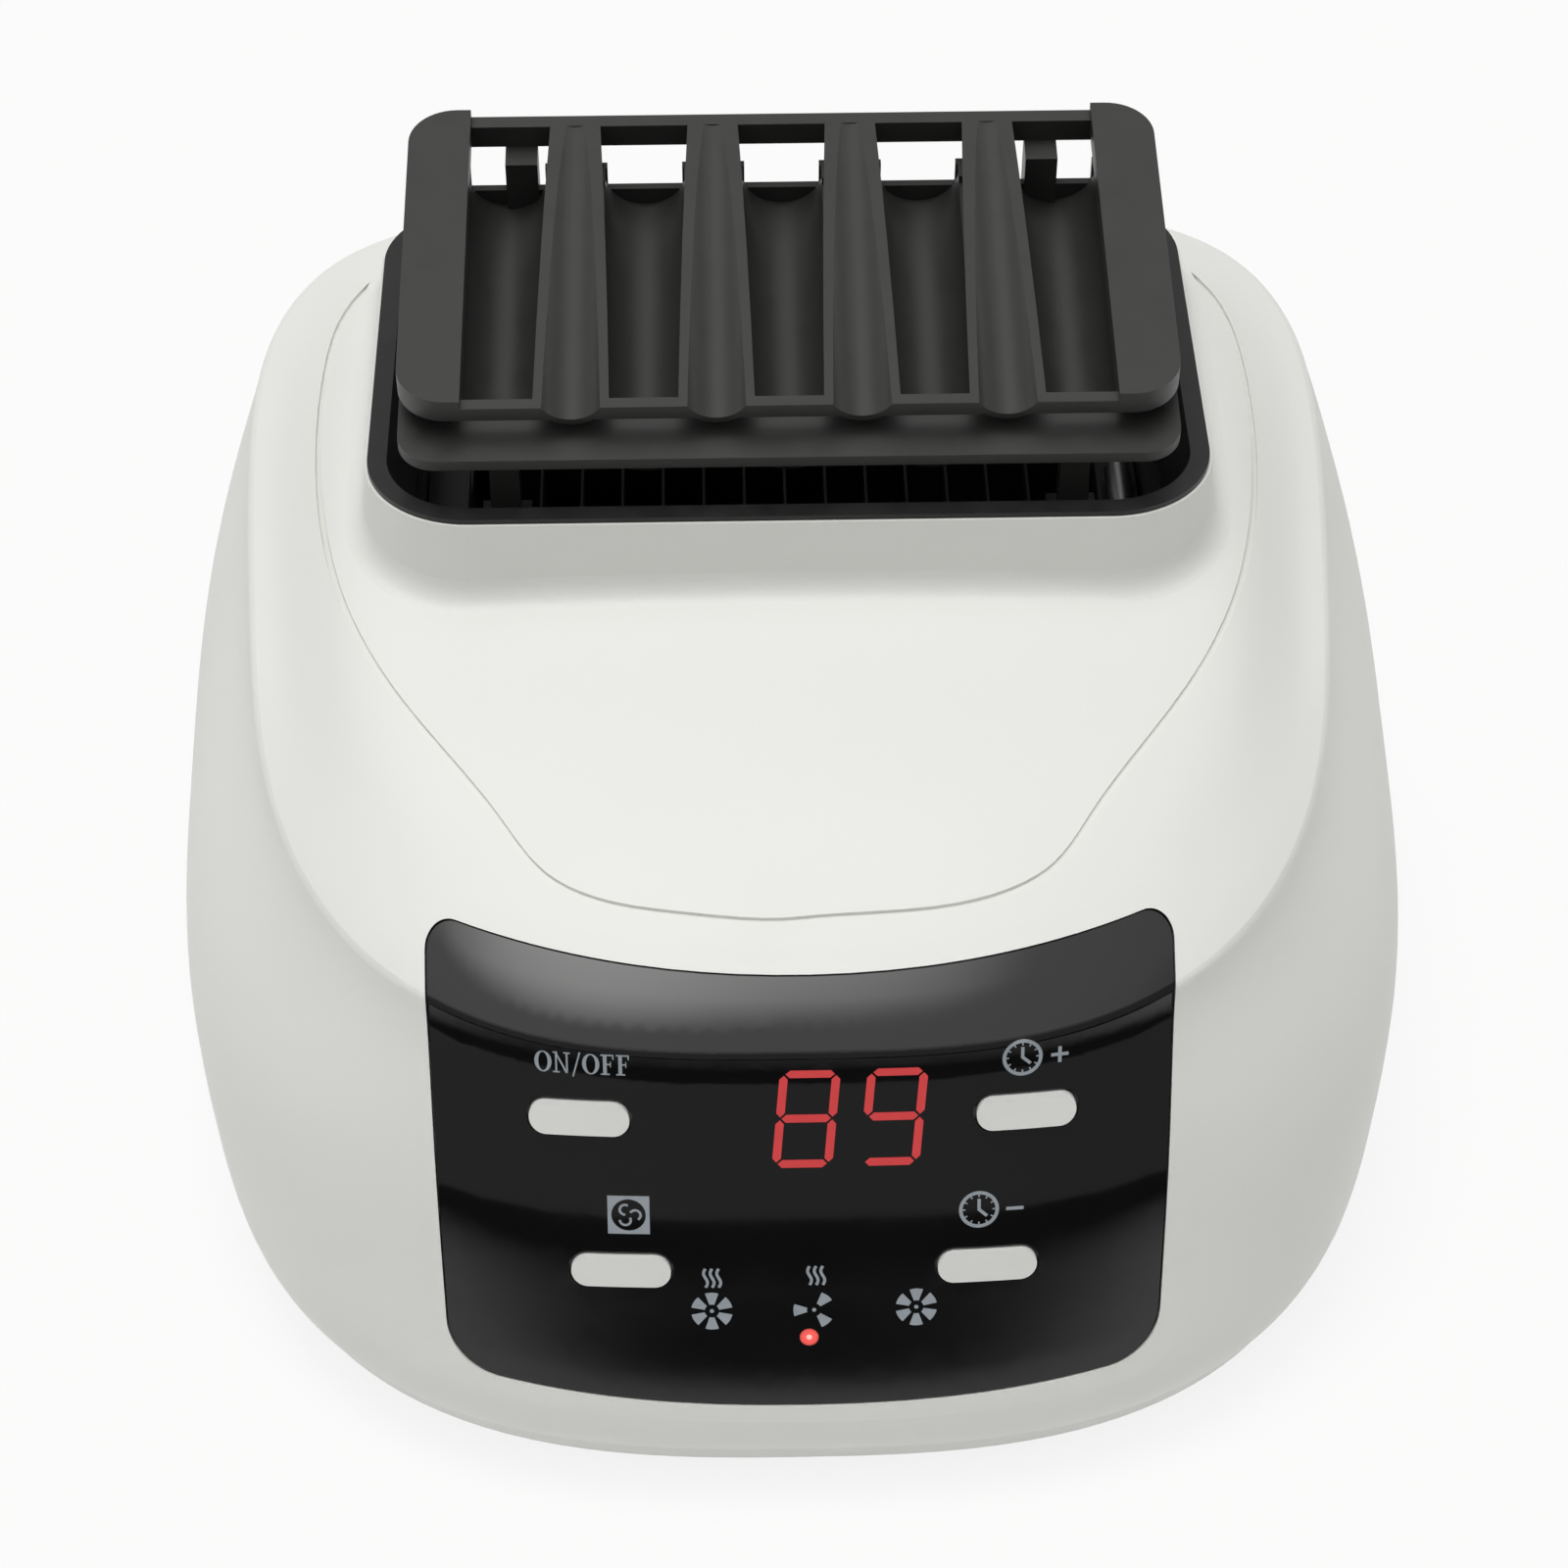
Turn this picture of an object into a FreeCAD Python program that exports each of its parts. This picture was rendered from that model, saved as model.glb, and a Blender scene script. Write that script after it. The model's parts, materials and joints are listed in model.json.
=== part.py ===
import FreeCAD, Part
import Sketcher
import math
import os
import re

# Portable warm-air dryer unit: white dome housing, slanted control panel, drip-proof outlet hood.
# Front faces -Y, up is +Z, origin at the middle of the footprint on the ground. Millimetres.

doc = FreeCAD.newDocument("warm_air_dryer")
sheet = doc.addObject("Spreadsheet::Sheet", "Sizes")

SIZES = [
    ("body_half_width", 90.0, "half width at the widest level"),
    ("body_front", 90.0, "foremost reach of the body ahead of the origin"),
    ("body_rear", 90.0, "rearmost reach of the body behind the origin"),
    ("shell_wall", 2.4, "wall of the upper housing"),
    ("feet_height", 5.0, "ground to the underside of the base"),
    ("seam_height", 8.0, "ground to the seam between base and housing"),
    ("wide_height", 43.0, "height of the widest level at the origin"),
    ("crease_height", 80.7, "height of the crease plane at the origin"),
    ("crease_slope", 0.186, "rise of the crease plane per millimetre rearward"),
    ("crease_round", 1.6, "radius of the crease edge"),
    ("deck_height", 98.0, "highest level of the deck"),
    ("deck_front_height", 70.8, "level of the deck carried on to the front crease"),
    ("deck_flat_from", 40.0, "distance behind the origin where the deck levels out"),
    ("deck_crown", 2.5, "fall of the deck from the middle to its sides"),
    ("groove_width", 0.9, "width of the engraved deck line"),
    ("groove_depth", 0.5, "depth of the engraved deck line"),
    ("panel_lean", 20.0, "lean of the control panel from upright, degrees"),
    ("panel_half_width", 50.8, "half width of the control panel at its top"),
    ("panel_foot_half_width", 49.0, "half width of the control panel at its foot"),
    ("panel_top", 47.5, "top edge of the panel at its middle, up the slope"),
    ("panel_top_corner", 53.8, "top edge of the panel at its corners, up the slope"),
    ("panel_foot", 13.7, "bottom edge of the panel at its middle, down the slope"),
    ("panel_foot_corner", 9.4, "bottom edge of the panel at its corners, down the slope"),
    ("panel_top_round", 3.4, "corner radius at the panel top"),
    ("panel_foot_round", 8.5, "corner radius at the panel foot"),
    ("panel_sunk", 0.35, "panel face below the body surface"),
    ("panel_thick", 2.5, "thickness of the control panel"),
    ("panel_gap", 0.25, "gap between panel edge and housing"),
    ("panel_tape", 0.15, "thickness of the bonding tape behind the panel"),
    ("seat_reach", 3.0, "reach of the panel seat beyond the opening"),
    ("seat_thick", 2.0, "thickness of the panel seat"),
    ("button_length", 13.6, "length of a button face"),
    ("button_width", 4.6, "width of a button face"),
    ("button_gap", 0.45, "gap between a button and its hole"),
    ("button_proud", 0.5, "button face above the body surface"),
    ("button_travel", 0.8, "stroke of a button"),
    ("upper_button_x", 30.2, "upper buttons from the middle"),
    ("upper_button_up", 29.6, "upper buttons up the slope"),
    ("lower_button_x", 25.0, "lower buttons from the middle"),
    ("lower_button_up", 7.2, "lower buttons up the slope"),
    ("stem_radius", 2.0, "radius of a button stem"),
    ("board_face", 75.5, "control board face along the panel axis"),
    ("board_thick", 1.6, "thickness of both circuit boards"),
    ("board_width", 84.0, "width of the control board"),
    ("board_low", 8.0, "lower edge of the control board down the slope"),
    ("board_high", 43.0, "upper edge of the control board up the slope"),
    ("board_screw_x", 38.0, "control board screws from the middle"),
    ("board_screw_low", 3.0, "lower control board screws up the slope"),
    ("board_screw_high", 39.0, "upper control board screws up the slope"),
    ("boss_radius", 3.2, "radius of the screw bosses"),
    ("screw_radius", 1.3, "radius of the small screws"),
    ("screw_head_radius", 2.6, "head radius of the small screws"),
    ("switch_side", 6.0, "side of a tact switch"),
    ("switch_height", 3.4, "height of a tact switch case"),
    ("plunger_radius", 1.7, "radius of a switch plunger"),
    ("plunger_gap", 0.08, "gap round a switch plunger"),
    ("plunger_rise", 1.4, "switch plunger above its case at rest"),
    ("plunger_sunk", 1.2, "switch plunger inside its case at rest"),
    ("display_width", 25.2, "width of the two-digit display"),
    ("display_depth", 19.0, "height of the two-digit display"),
    ("display_thick", 9.4, "two-digit display above its board"),
    ("display_x", 6.8, "middle of the display from the panel middle"),
    ("display_up", 29.7, "middle of the display up the slope"),
    ("digit_pitch", 12.7, "pitch of the two digits"),
    ("digit_height", 14.2, "height of a digit"),
    ("digit_width", 8.0, "width of a digit"),
    ("digit_bar", 1.6, "width of a digit bar"),
    ("digit_bar_thick", 0.6, "thickness of a digit bar"),
    ("lamp_radius", 1.5, "radius of an indicator lamp"),
    ("lamp_height", 9.0, "height of an indicator lamp"),
    ("lamp_pitch", 14.0, "pitch of the indicator lamps"),
    ("lamp_up", -3.2, "indicator lamps up the slope"),
    ("buzzer_radius", 4.5, "radius of the buzzer"),
    ("buzzer_height", 5.0, "height of the buzzer"),
    ("outlet_y", 37.3, "middle of the air outlet behind the origin"),
    ("neck_width", 121.6, "width of the outlet neck"),
    ("neck_y", 40.3, "middle of the outlet neck behind the origin"),
    ("neck_depth", 81.0, "depth of the outlet neck"),
    ("neck_round", 15.4, "corner radius of the outlet neck"),
    ("neck_height", 103.0, "ground to the top of the outlet neck"),
    ("neck_draft", 1.6, "spread of the outlet neck at its foot"),
    ("neck_fillet", 4.0, "radius between the outlet neck and the deck"),
    ("bezel_width", 120.8, "width of the outlet bezel"),
    ("bezel_depth", 80.2, "depth of the outlet bezel"),
    ("bezel_round", 15.0, "corner radius of the outlet bezel"),
    ("bezel_thick", 0.8, "thickness of the outlet bezel rim"),
    ("skirt_width", 116.2, "width of the bezel skirt"),
    ("skirt_depth", 75.6, "depth of the bezel skirt"),
    ("skirt_round", 12.7, "corner radius of the bezel skirt"),
    ("skirt_height", 14.0, "height of the bezel skirt"),
    ("dish_width", 115.2, "width of the bezel dish at the rim"),
    ("dish_depth", 74.6, "depth of the bezel dish at the rim"),
    ("dish_round", 12.2, "corner radius of the bezel dish at the rim"),
    ("throat_width", 108.0, "width of the air throat"),
    ("throat_depth", 62.0, "depth of the air throat"),
    ("throat_round", 6.0, "corner radius of the air throat"),
    ("dish_fall", 8.0, "fall of the bezel dish to the throat"),
    ("post_x", 40.5, "hood posts from the middle"),
    ("post_width", 4.2, "width of a hood post"),
    ("post_depth", 4.2, "depth of a hood post"),
    ("post_front_y", 10.2, "front hood posts behind the origin"),
    ("post_rear_y", 62.6, "rear hood posts behind the origin"),
    ("post_foot", 97.0, "ground to the foot of the hood posts"),
    ("post_boss", 7.0, "side of a bezel boss under a hood post"),
    ("hood_width", 110.8, "width of the outlet hood"),
    ("hood_length", 62.2, "length of the hood cover along its slope"),
    ("hood_round", 7.0, "corner radius of the hood cover"),
    ("hood_y", 9.0, "front edge of the hood cover behind the origin"),
    ("hood_z", 116.6, "ground to the front edge of the hood cover"),
    ("hood_tilt", 8.5, "slope of the hood, degrees"),
    ("cover_thick", 2.3, "thickness of the hood cover"),
    ("wing_width", 9.1, "width of a cover wing"),
    ("wing_rise", 1.4, "cover wing above the cover face"),
    ("front_bar", 1.3, "depth of the cover front bar"),
    ("rear_bar", 2.4, "depth of the cover rear bar"),
    ("rear_bar_fall", 3.8, "height of the cover rear bar"),
    ("gutter_pitch", 20.5, "pitch of the hood gutters"),
    ("gutter_radius", 4.9, "inner radius of a cover gutter"),
    ("gutter_wall", 1.1, "wall of a cover gutter"),
    ("gutter_lift", 2.6, "axis of a cover gutter above the cover face"),
    ("gutter_fall", 2.0, "fall of a cover gutter to the front, degrees"),
    ("trough_radius", 6.0, "inner radius of a tray trough"),
    ("trough_wall", 1.2, "wall of a tray trough"),
    ("trough_axis", 6.5, "axis of the tray troughs below the cover face"),
    ("tray_lead", 5.0, "reach of the tray ahead of the cover"),
    ("trough_rim", 3.0, "top of a trough end wall below the trough axis"),
    ("spacer_x", 38.9, "rear spacers from the middle"),
    ("spacer_width", 4.8, "width of a rear spacer"),
    ("spacer_depth", 5.4, "depth of a rear spacer"),
    ("tray_length", 62.7, "length of the tray along its slope"),
    ("tray_round", 5.4, "corner radius of the tray"),
    ("tray_plate", 1.8, "thickness of the tray plate"),
    ("tray_top", 5.3, "tray plate top below the cover face"),
    ("tray_front_band", 9.0, "depth of the tray front band"),
    ("tray_rear_band", 4.0, "depth of the tray rear band"),
    ("side_rail", 4.0, "thickness of the tray side rails"),
    ("side_rail_x", 51.5, "tray side rails from the middle"),
    ("fan_y", 30.0, "fan axis behind the origin"),
    ("fan_side", 80.0, "side of the fan frame"),
    ("fan_round", 4.0, "corner radius of the fan frame"),
    ("fan_height", 25.0, "height of the fan frame"),
    ("fan_bore", 38.2, "radius of the fan bore"),
    ("fan_hole_x", 35.75, "fan screws from the fan axis"),
    ("fan_foot", 12.0, "ground to the underside of the fan"),
    ("hub_radius", 18.0, "radius of the impeller hub"),
    ("hub_height", 17.0, "height of the impeller hub"),
    ("hub_wall", 1.6, "wall of the impeller hub"),
    ("blade_tip", 36.9, "radius of the blade tips"),
    ("blade_chord", 22.0, "chord of a fan blade"),
    ("blade_thick", 1.5, "thickness of a fan blade"),
    ("blade_pitch", 42.0, "pitch of a fan blade, degrees"),
    ("blade_count", 7, "number of fan blades"),
    ("motor_radius", 14.0, "radius of the fan stator"),
    ("motor_height", 9.0, "height of the fan stator"),
    ("shaft_radius", 1.5, "radius of the fan shaft"),
    ("bearing_gap", 0.03, "running gap of the fan shaft"),
    ("bearing_radius", 3.6, "outer radius of the fan bearing"),
    ("strut_width", 5.0, "width of a fan strut"),
    ("strut_height", 4.0, "height of a fan strut"),
    ("fan_screw_radius", 1.9, "radius of the fan screws"),
    ("fan_screw_head", 2.8, "head radius of the fan screws"),
    ("filter_side", 88.0, "side of the filter frame"),
    ("filter_opening", 78.0, "opening of the filter frame"),
    ("screen_side", 83.0, "side of the filter screen"),
    ("screen_thick", 1.2, "thickness of the filter screen"),
    ("duct_wall", 2.0, "wall of the air duct"),
    ("duct_foot_side", 84.0, "side of the duct at the fan"),
    ("duct_shoulder", 56.0, "ground to where the duct becomes straight"),
    ("heater_foot", 60.0, "ground to the underside of the heater"),
    ("heater_height", 16.0, "height of the heater"),
    ("heater_bar_width", 6.0, "width of a heater end bar"),
    ("heater_gap", 0.3, "gap between heater and duct"),
    ("element_width", 6.0, "width of a heating element bar"),
    ("element_pitch", 20.0, "pitch of the heating element bars"),
    ("element_height", 14.0, "height of a heating element bar"),
    ("fin_thick", 0.4, "thickness of a heater fin"),
    ("fin_pitch", 6.2, "pitch of the heater fins"),
    ("fin_count", 15, "fins in a row"),
    ("power_board_width", 96.0, "width of the power board"),
    ("power_board_depth", 44.0, "depth of the power board"),
    ("power_board_y", -43.0, "middle of the power board behind the origin"),
    ("power_board_foot", 14.0, "ground to the underside of the power board"),
    ("inlet_width", 30.0, "width of the mains inlet flange"),
    ("inlet_height", 16.0, "height of the mains inlet flange"),
    ("inlet_z", 27.0, "ground to the middle of the mains inlet"),
    ("inlet_depth", 14.0, "depth of the mains inlet body"),
    ("inlet_recess", 10.0, "depth of the mains inlet recess"),
    ("foot_radius", 7.5, "radius of a rubber foot"),
    ("foot_peg", 2.5, "radius of a rubber foot peg"),
    ("front_foot_x", 55.0, "front feet from the middle"),
    ("front_foot_y", -58.0, "front feet behind the origin"),
    ("rear_foot_x", 46.0, "rear feet from the middle"),
    ("rear_foot_y", 67.0, "rear feet behind the origin"),
    ("front_column_x", 68.0, "front screw columns from the middle"),
    ("front_column_y", -18.0, "front screw columns behind the origin"),
    ("rear_column_x", 62.5, "rear screw columns from the middle"),
    ("rear_column_y", 54.0, "rear screw columns behind the origin"),
    ("column_radius", 4.4, "radius of a screw column"),
    ("case_screw_radius", 1.7, "radius of the housing screws"),
    ("case_screw_head", 3.3, "head radius of the housing screws"),
    ("lip_gap", 0.4, "gap between base lip and housing wall"),
    ("lip_wall", 1.6, "thickness of the base lip"),
    ("lip_height", 4.0, "height of the base lip"),
    ("inlet_slot_count", 9, "air slots in the base"),
    ("inlet_slot_width", 4.6, "width of an air slot"),
    ("inlet_slot_pitch", 8.0, "pitch of the air slots"),
    ("inlet_reach", 37.0, "radius reached by the air slots"),
]
for row, (alias, value, note) in enumerate(SIZES, 1):
    sheet.set("A%d" % row, note)
    sheet.set("B%d" % row, str(value))
    sheet.setAlias("B%d" % row, alias)
doc.recompute()

NAMES = {alias for alias, value, note in SIZES}
V = FreeCAD.Vector
AXIS_X = V(1, 0, 0)
AXIS_Y = V(0, 1, 0)
AXIS_Z = V(0, 0, 1)
nodes = []


def size(alias):
    return float(sheet.get(alias))


def formula(text):
    return re.sub(r"[a-z_]+", lambda m: "Sizes." + m.group(0) if m.group(0) in NAMES else m.group(0), str(text))


def bind(thing, **texts):
    for name, text in texts.items():
        thing.setExpression(name, formula(text))


def place(thing, x, y, z, axis=None, angle=0):
    if axis is not None:
        thing.Placement = FreeCAD.Placement(V(0, 0, 0), FreeCAD.Rotation(axis, angle))
    thing.setExpression("Placement.Base.x", formula(x))
    thing.setExpression("Placement.Base.y", formula(y))
    thing.setExpression("Placement.Base.z", formula(z))
    return thing


def box(name, length, width, height, x, y, z):
    # Centred on x and y, standing on z.
    thing = doc.addObject("Part::Box", name)
    bind(thing, Length=length, Width=width, Height=height)
    return place(thing, "(%s) - (%s) / 2" % (x, length), "(%s) - (%s) / 2" % (y, width), z)


def cylinder(name, radius, height, x, y, z, axis=None, angle=0):
    thing = doc.addObject("Part::Cylinder", name)
    bind(thing, Radius=radius, Height=height)
    return place(thing, x, y, z, axis, angle)


def fuse(name, things):
    thing = doc.addObject("Part::MultiFuse", name)
    thing.Shapes = things
    return thing


def cut(name, base, tools):
    tool = tools[0]
    if len(tools) > 1:
        tool = fuse(name + "_tools", tools)
    thing = doc.addObject("Part::Cut", name)
    thing.Base = base
    thing.Tool = tool
    return thing


def group(name, things):
    thing = doc.addObject("Part::Compound", name)
    thing.Links = things
    return thing


def node(thing, label):
    thing.Label = label
    nodes.append(thing)
    return thing


def shaped(label, shape):
    thing = doc.addObject("Part::Feature", label)
    thing.Shape = shape
    return node(thing, label)


def rounded_plate(name, width, depth, radius, height, x, y, z):
    # Rounded rectangle centred on x and y, padded upward from z; width, depth and radius are cells.
    body = doc.addObject("PartDesign::Body", name)
    sketch = body.newObject("Sketcher::SketchObject", name + "_outline")
    sketch.AttachmentSupport = (body.Origin.OriginFeatures[3], [""])
    sketch.MapMode = "FlatFace"
    half_x = size(width) / 2
    half_y = size(depth) / 2
    turn = size(radius)
    inner_x = half_x - turn
    inner_y = half_y - turn
    lines = [
        (V(-inner_x, -half_y, 0), V(inner_x, -half_y, 0)),
        (V(half_x, -inner_y, 0), V(half_x, inner_y, 0)),
        (V(inner_x, half_y, 0), V(-inner_x, half_y, 0)),
        (V(-half_x, inner_y, 0), V(-half_x, -inner_y, 0)),
    ]
    corners = [(inner_x, -inner_y, -90), (inner_x, inner_y, 0), (-inner_x, inner_y, 90), (-inner_x, -inner_y, 180)]
    for start, end in lines:
        sketch.addGeometry(Part.LineSegment(start, end), False)
    for cx, cy, first in corners:
        circle = Part.Circle(V(cx, cy, 0), AXIS_Z, turn)
        arc = Part.ArcOfCircle(circle, math.radians(first), math.radians(first + 90))
        sketch.addGeometry(arc, False)
    for side in range(4):
        sketch.addConstraint(Sketcher.Constraint("Tangent", side, 2, 4 + side, 1))
        sketch.addConstraint(Sketcher.Constraint("Tangent", 4 + side, 2, (side + 1) % 4, 1))
    for side in range(1, 4):
        sketch.addConstraint(Sketcher.Constraint("Equal", 4, 4 + side))
    sketch.addConstraint(Sketcher.Constraint("Horizontal", 0))
    sketch.addConstraint(Sketcher.Constraint("Vertical", 1))
    sketch.addConstraint(Sketcher.Constraint("Symmetric", 4, 3, 6, 3, -1, 1))
    wide = sketch.addConstraint(Sketcher.Constraint("DistanceX", 3, 1, 1, 1, 2 * half_x))
    deep = sketch.addConstraint(Sketcher.Constraint("DistanceY", 0, 1, 2, 2, 2 * half_y))
    bend = sketch.addConstraint(Sketcher.Constraint("Radius", 4, turn))
    sketch.setExpression("Constraints[%d]" % wide, formula(width))
    sketch.setExpression("Constraints[%d]" % deep, formula(depth))
    sketch.setExpression("Constraints[%d]" % bend, formula(radius))
    pad = body.newObject("PartDesign::Pad", name + "_pad")
    pad.Profile = sketch
    bind(pad, Length=height)
    body.Tip = pad
    return place(body, x, y, z)


# Outlines of the body, level by level

RING_POINTS = 40
OUTLET_CENTRE = V(0, size("outlet_y"), 0)
WIDE = size("body_half_width")
FRONT = size("body_front")
REAR = size("body_rear")
# Each level: shares of the half width, front and rear reach, corner powers, taper, height, slope.
SPAN = size("wide_height") - size("seam_height")
LEVELS = [
    (0.9170, 0.9735, 0.9445, 2.75, 3.0, 0.0, size("feet_height"), 0.0),
    (0.9335, 0.9845, 0.9560, 2.75, 3.0, 0.0, size("seam_height"), 0.0),
    (0.9580, 1.0000, 0.9720, 2.78, 3.2, 0.0, size("seam_height") + 0.2 * SPAN, 0.02),
    (0.9800, 0.9805, 0.9880, 2.82, 3.5, 0.01, size("seam_height") + 0.486 * SPAN, 0.05),
    (1.0000, 0.9230, 1.0000, 2.88, 3.8, 0.02, size("wide_height"), 0.10),
    (0.9610, 0.8580, 1.0000, 2.94, 4.2, 0.045, 0.5 * (size("wide_height") + size("crease_height")), 0.145),
    (0.8740, 0.7890, 0.9900, 3.00, 4.5, 0.08, size("crease_height"), size("crease_slope")),
]


def level_points(level, inset=0.0, drop=0.0):
    wide_share, front_share, rear_share, front_power, rear_power, taper, height, slope = level
    half_x = wide_share * WIDE - inset
    front = -front_share * FRONT + inset
    rear = rear_share * REAR - inset
    half_y = (rear - front) / 2
    middle = (rear + front) / 2
    points = []
    for step in range(RING_POINTS):
        turn = 2 * math.pi * step / RING_POINTS
        across = math.cos(turn)
        along = math.sin(turn)
        power = rear_power if along > 0 else front_power
        reach = (abs(across / half_x) ** power + abs(along / half_y) ** power) ** (-1 / power)
        y = reach * along
        lean = y / half_y
        x = reach * across * (1 + taper * lean * (1 - 0.6 * max(0.0, lean)))
        points.append(V(x, middle + y, height + slope * (middle + y) - drop))
    return points


def ring(points):
    curve = Part.BSplineCurve()
    curve.interpolate(points, PeriodicFlag=True)
    return Part.Wire([curve.toShape()])


def deck_level(x, y):
    fall = max(0.0, (size("deck_flat_from") - y) / (size("deck_flat_from") + LEVELS[-1][1] * FRONT))
    crown = size("deck_crown") * (x / (LEVELS[-1][0] * WIDE)) ** 2
    return size("deck_height") - (size("deck_height") - size("deck_front_height")) * fall ** 1.5 - crown


# Share of the edge drop left at each scale of the crease ring, at the sides and at the front.
DECK_SCALES = [0.960, 0.915, 0.870, 0.815, 0.70, 0.52, 0.34]
SIDE_SHARE = [0.90, 0.68, 0.32, 0.07, 0.0, 0.0, 0.0]
FRONT_SHARE = [0.68, 0.44, 0.25, 0.10, 0.01, 0.0, 0.0]
INNER_SCALE = 0.18


def front_share(x, y):
    # One dead ahead of the outlet, nothing at the sides.
    toward = (OUTLET_CENTRE.y - y) / math.hypot(x, OUTLET_CENTRE.y - y)
    blend = min(1.0, max(0.0, (toward - 0.45) / 0.45))
    return blend * blend * (3 - 2 * blend)


def dome(inset=0.0, sink=0.0):
    # Solid bounded by the body surface moved inward, its foot sunk below the seam.
    walls = [ring(level_points(LEVELS[1], inset, sink))]
    walls = walls + [ring(level_points(level, inset)) for level in LEVELS[2:-1]]
    crease = level_points(LEVELS[-1], inset, inset)
    edge = ring(crease)
    wall = Part.makeLoft(walls + [edge], True, False)
    rings = [edge]
    for scale, at_side, at_front in zip(DECK_SCALES, SIDE_SHARE, FRONT_SHARE):
        points = []
        for corner in crease:
            drop = deck_level(corner.x, corner.y) - inset - corner.z
            front = front_share(corner.x, corner.y)
            share = front * at_front + (1 - front) * at_side
            x = scale * corner.x
            y = OUTLET_CENTRE.y + scale * (corner.y - OUTLET_CENTRE.y)
            points.append(V(x, y, deck_level(x, y) - inset - share * drop))
        rings.append(ring(points))
    points = []
    for corner in crease:
        y = OUTLET_CENTRE.y + INNER_SCALE * (corner.y - OUTLET_CENTRE.y)
        points.append(V(INNER_SCALE * corner.x, y, size("deck_height") - inset - 1.0))
    rings.append(ring(points))
    deck = Part.makeLoft(rings, True, False)
    solid = wall.fuse(deck).removeSplitter()
    heights = [[vertex.z for vertex in edge.discretize(9)] for edge in solid.Edges]
    creases = [edge for edge, rise in zip(solid.Edges, heights) if max(rise) - min(rise) > 5 and edge.Length > 300]
    return solid.makeFillet(size("crease_round"), creases)


def rounded_wire(width, depth, radius, z, y):
    half_x = width / 2
    half_y = depth / 2
    edges = []
    corners = [(1, -1, -90), (1, 1, 0), (-1, 1, 90), (-1, -1, 180)]
    arcs = []
    for side_x, side_y, first in corners:
        circle = Part.Circle(V(side_x * (half_x - radius), y + side_y * (half_y - radius), z), AXIS_Z, radius)
        arcs.append(Part.ArcOfCircle(circle, math.radians(first), math.radians(first + 90)).toShape())
    for index, arc in enumerate(arcs):
        follower = arcs[(index + 1) % 4]
        edges.append(arc)
        edges.append(Part.LineSegment(arc.Vertexes[1].Point, follower.Vertexes[0].Point).toShape())
    return Part.Wire(edges)


def neck(inset, bottom, top):
    spread = 2 * size("neck_draft")
    width = size("neck_width") - 2 * inset
    depth = size("neck_depth") - 2 * inset
    radius = size("neck_round") - inset
    low = rounded_wire(width + spread, depth + spread, radius + spread / 2, bottom, size("neck_y"))
    high = rounded_wire(width, depth, radius, top, size("neck_y"))
    return Part.makeLoft([low, high], True, True)


def neck_blend(solid):
    # Rounds the foot of the neck where it meets the deck.
    feet = []
    for edge in solid.Edges:
        points = edge.discretize(5)
        reach_x = max(abs(point.x) for point in points)
        reach_y = max(abs(point.y - size("neck_y")) for point in points)
        span = size("neck_height") - min(point.z for point in points)
        rise = size("neck_height") - max(point.z for point in points)
        near_x = abs(reach_x - size("neck_width") / 2) < 2 * size("neck_draft")
        near_y = abs(reach_y - size("neck_depth") / 2) < 2 * size("neck_draft")
        if rise > 1 and span < 20 and (near_x or near_y) and reach_x < size("neck_width") / 2 + 3:
            feet.append(edge)
    return solid.makeFillet(size("neck_fillet"), feet)


# Panel frame: local X across, local Y up the slope, local Z outward.
LEAN = FreeCAD.Rotation(AXIS_X, 90 - size("panel_lean"))
PANEL_FRAME = FreeCAD.Placement(V(0, 0, 0), LEAN)
PANEL_REACH = size("body_front") + 30


def panel_prism(grow):
    top = size("panel_half_width") + grow
    foot = size("panel_foot_half_width") + grow
    high = size("panel_top_corner") + grow
    crown = size("panel_top") + grow
    low = -size("panel_foot_corner") - grow
    sag = -size("panel_foot") - grow
    upper = Part.Arc(V(top, high, 0), V(0, crown, 0), V(-top, high, 0)).toShape()
    left = Part.LineSegment(V(-top, high, 0), V(-foot, low, 0)).toShape()
    lower = Part.Arc(V(-foot, low, 0), V(0, sag, 0), V(foot, low, 0)).toShape()
    right = Part.LineSegment(V(foot, low, 0), V(top, high, 0)).toShape()
    face = Part.Face(Part.Wire([upper, left, lower, right]))
    solid = face.extrude(V(0, 0, PANEL_REACH))
    tops = []
    for edge in solid.Edges:
        start = edge.Vertexes[0].Point
        end = edge.Vertexes[-1].Point
        if abs(abs(start.z - end.z) - PANEL_REACH) < 0.001 and start.y > 0:
            tops.append(edge)
    solid = solid.makeFillet(size("panel_top_round"), tops)
    feet = [edge for edge in solid.Edges if abs(abs(edge.Vertexes[0].Point.z - edge.Vertexes[-1].Point.z)
            - PANEL_REACH) < 0.001 and abs(edge.Vertexes[0].Point.y - low) < 0.01]
    solid = solid.makeFillet(size("panel_foot_round"), feet)
    solid.translate(V(0, 0, 40))
    solid.Placement = PANEL_FRAME.multiply(solid.Placement)
    return solid


def pill(length, width, x, up, low, high):
    # Stadium prism in the panel frame.
    half = (length - width) / 2
    radius = width / 2
    right = Part.ArcOfCircle(Part.Circle(V(half, 0, 0), AXIS_Z, radius), -math.pi / 2, math.pi / 2).toShape()
    left = Part.ArcOfCircle(Part.Circle(V(-half, 0, 0), AXIS_Z, radius), math.pi / 2, 1.5 * math.pi).toShape()
    above = Part.LineSegment(V(half, radius, 0), V(-half, radius, 0)).toShape()
    below = Part.LineSegment(V(-half, -radius, 0), V(half, -radius, 0)).toShape()
    solid = Part.Face(Part.Wire([right, above, left, below])).extrude(V(0, 0, high - low))
    solid.translate(V(x, up, low))
    solid.Placement = PANEL_FRAME.multiply(solid.Placement)
    return solid


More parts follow.
